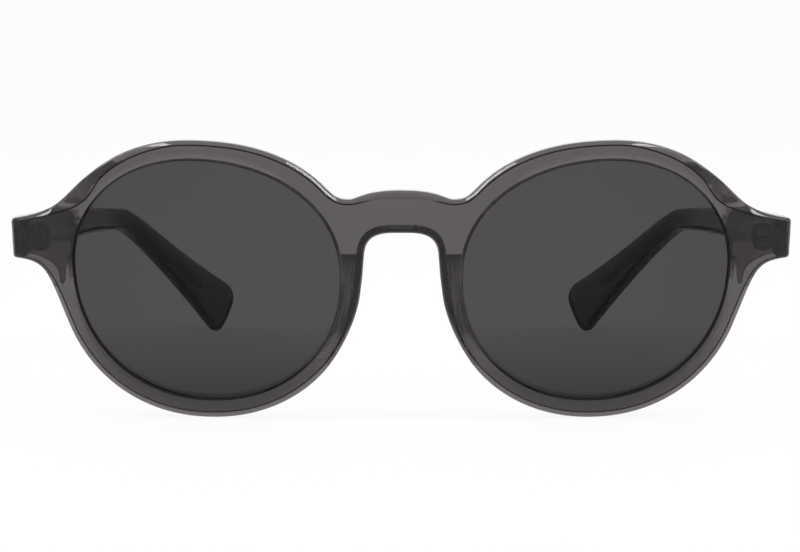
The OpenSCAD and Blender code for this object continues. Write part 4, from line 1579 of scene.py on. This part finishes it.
@dataclass
class Studio:
    """Pale table, soft lamps and the camera at the photograph's angle.

    Fields:
        size: the pair's sizes.
        eye, aim: the camera's place and what it points at, in millimetres.
        lens_mm, sensor_mm: its focal length and the width of its sensor.
        room_light: brightness of the room's own light.
        dim_above, dim_front: how bright the room looks overhead and on the viewer's side in a
            gloss or through something clear, next to white.
        dim_floor: how bright the painted shadow on the table under the rims looks through something
            clear.
        plain_table, clear_table: how much of the table's look is its own white, seen directly
            and through something clear. The rest shows the shadow.
        above, ahead: the heights and depths of direction over which the room dims.
        front_table, rim_table: the depths over which the table dims in a gloss, and the depth and reach
            of the painted shadow under the rims, in metres.
    """

    size: Sizes
    eye: tuple[float, float, float] = (-0.23, -600.0, 87.0)
    aim: tuple[float, float, float] = (-0.23, 4.0, 25.785)
    lens_mm: float = 149.54
    sensor_mm: float = 36.0
    room_light: float = 0.85
    dim_above: float = 0.5
    dim_front: float = 0.1
    dim_floor: float = 0.05
    plain_table: float = 0.9
    clear_table: float = 0.8
    above: tuple[float, float] = (0.35, 0.6)
    ahead: tuple[float, float] = (-0.25, 0.05)
    front_table: tuple[float, float] = (-0.12, 0.0)
    rim_table: tuple[float, float] = (-0.08, 0.16)

    def _rays(self, patch: Patch) -> list[Calc]:
        """Tells apart how a ray gets to a surface.

        Args:
            patch: the wiring.

        Returns:
            Three values, each 1 where the ray comes straight from the camera, through something
            clear, or off a gloss alone.
        """
        path = patch.node("ShaderNodeLightPath")
        camera, clear, gloss = (Calc(patch, path.outputs[f"Is {kind} Ray"])
                                for kind in ("Camera", "Transmission", "Glossy"))
        return [camera, clear, gloss * (1 - clear)]

    def _split(self, patch: Patch, kind: str) -> list[Calc]:
        """Takes a coordinate apart.

        Args:
            patch: the wiring.
            kind: which coordinate, by its output's name.

        Returns:
            Its x, y and z.
        """
        where = patch.node("ShaderNodeTexCoord").outputs[kind]
        parts = patch.node("ShaderNodeSeparateXYZ", values={0: where})
        return [Calc(patch, output) for output in parts.outputs]

    def table(self) -> None:
        """Builds the table top, white to the eye but for the shadow on it, with a painted shadow under
        the rims where it is seen through something clear.
        """
        data = bpy.data.meshes.new("table_top")
        with edited(data) as build:
            bmesh.ops.create_grid(build, x_segments=40, y_segments=40, size=8.0)
        top = link("table_top", data)
        top.location.z = -0.02 * MM
        mat = bpy.data.materials.new("White card")
        patch = Patch.of(mat)
        card = patch.node("ShaderNodeBsdfPrincipled",
                          values={"Base Color": (0.86, 0.86, 0.86, 1), "Roughness": 0.7})
        y = self._split(patch, "Object")[1]
        rim_y, reach = self.rim_table
        front = patch.fade(y, self.front_table, (self.dim_front, 1.0))
        # Painted shadow: seen through something clear, the table's glow dims under the rims
        painted_shadow = patch.fade(patch.math("ABSOLUTE", y - rim_y), (0.0, reach), (self.dim_floor, 1.0))
        camera, clear, gloss = self._rays(patch)
        strength = 1 - gloss * (1 - front) - clear * (1 - painted_shadow)
        glow = patch.node("ShaderNodeEmission", values={"Color": WHITE, "Strength": strength})
        share = camera * self.plain_table + clear * self.clear_table + gloss
        mixed = patch.node("ShaderNodeMixShader", values={0: share, 1: card, 2: glow})
        patch.node("ShaderNodeOutputMaterial", values={"Surface": mixed})
        data.materials.append(mat)
        top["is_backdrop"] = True

    def world(self) -> None:
        """Lights the room evenly and shows it white, dimmer overhead and on the viewer's side."""
        world = bpy.data.worlds.new("Light room")
        bpy.context.scene.world = world
        patch = Patch.of(world)
        camera, clear, gloss = self._rays(patch)
        _, deep, height = self._split(patch, "Generated")
        up = patch.fade(height, self.above, (1.0, self.dim_above), "SMOOTHSTEP")
        ahead = patch.fade(deep, self.ahead, (self.dim_front, 1.0), "SMOOTHSTEP")
        level = 1 - gloss * (1 - up * ahead) - clear * (1 - up * up * (ahead * 0.5 + 0.5))
        room, shown = (
            patch.node("ShaderNodeBackground", values={"Color": WHITE, "Strength": strength})
            for strength in (self.room_light, level)
        )
        mixed = patch.node("ShaderNodeMixShader", values={0: camera + clear + gloss, 1: room, 2: shown})
        patch.node("ShaderNodeOutputWorld", values={"Surface": mixed})

    def lamp(self, name: str, spot: tuple[float, float, float], size: tuple[float, float],
             power: float) -> None:
        """Adds a soft lamp that points at the pair.

        Args:
            name: the lamp's name.
            spot: its place, in metres.
            size: its width and height, in metres.
            power: its power in watts.
        """
        data = bpy.data.lights.new(name, "AREA")
        data.shape = "RECTANGLE"
        data.size, data.size_y = size
        data.energy = power
        item = link(name, data)
        # Rays that pass through the acetate would draw the lamp's shape on the openings' walls
        item.visible_transmission = False
        look_at(item, Vector(spot), Vector((0, 0, 0.02)))

    def camera(self) -> None:
        """Adds the camera at the photograph's place."""
        data = bpy.data.cameras.new("Camera")
        data.sensor_fit = "HORIZONTAL"
        data.sensor_width = self.sensor_mm
        data.lens = self.lens_mm
        data.clip_start, data.clip_end = 0.01, 50.0
        item = link("Camera", data)
        shift = Vector((0.0, self.size.shift_y, 0.0))
        look_at(item, Vector(self.eye) * MM + shift, Vector(self.aim) * MM + shift)
        bpy.context.scene.camera = item

    def build(self) -> None:
        """Builds the table, the lights and the camera."""
        self.table()
        self.world()
        self.lamp("Overhead", (0.0, 0.1, 0.9), (1.2, 0.9), 1.0)
        for side in Side:
            self.lamp(f"Strip, {side.word}", (0.42 * side.value, -0.09, 0.55), (0.1, 0.42), 1.2)
        self.camera()
        bpy.context.scene.view_settings.view_transform = "Standard"


def main() -> None:
    """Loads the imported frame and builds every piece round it."""
    logging.basicConfig(level=logging.INFO, format="%(name)s: %(message)s")
    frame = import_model()
    packed = [list(corner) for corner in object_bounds()]
    size = Sizes(shift_y=packed[0][1])
    shop = Workshop(size)
    outline = Outline(size)

    smoke = (0.06, 0.0, 0.0)
    acetate = ClearStock("Smoke acetate", 560.0, smoke, haze=0.03).make()
    pad_acetate = ClearStock("Smoke acetate, pads", 190.0, smoke, haze=0.03).make()
    tint = ClearStock("Grey lens", 1236.0, (0.0, 0.0, 0.0), ior=1.5, roughness=0.012,
                      streak=0.01, wave=0.0005).make()
    nickel = BareMetal("Nickel silver", (214, 210, 204), (168, 164, 158), roughness=0.42,
                       metallic=0.15).make()
    steel = BareMetal("Turned steel", (205, 205, 206), (150, 150, 152), roughness=0.24,
                      grain=3200.0, stretch=6.0).make()
    drawn = BareMetal("Drawn core wire", (176, 172, 164), (128, 124, 118), roughness=0.32,
                      grain=2000.0).make()

    Front(size, shop, outline).build(acetate)
    line = LineTree(size)
    for side in Side:
        word, arm = side.word, Workshop.BODY[side]
        Lens(size, shop, side).build(tint)
        NosePad(size, shop, outline, side).build(pad_acetate)
        Temple(size, shop, line, side).build(acetate, drawn)
        Fitting(shop, f"{word}_front_hinge", "front", "hinge_metal").build(frame, nickel)
        Fitting(shop, f"{word}_temple_hinge", arm, "hinge_metal").build(frame, nickel)
        Fitting(shop, f"{word}_hinge_screw", arm, "screw_metal", 0.03).build(frame, steel)
    Studio(size).build()


if __name__ == "__main__":
    main()
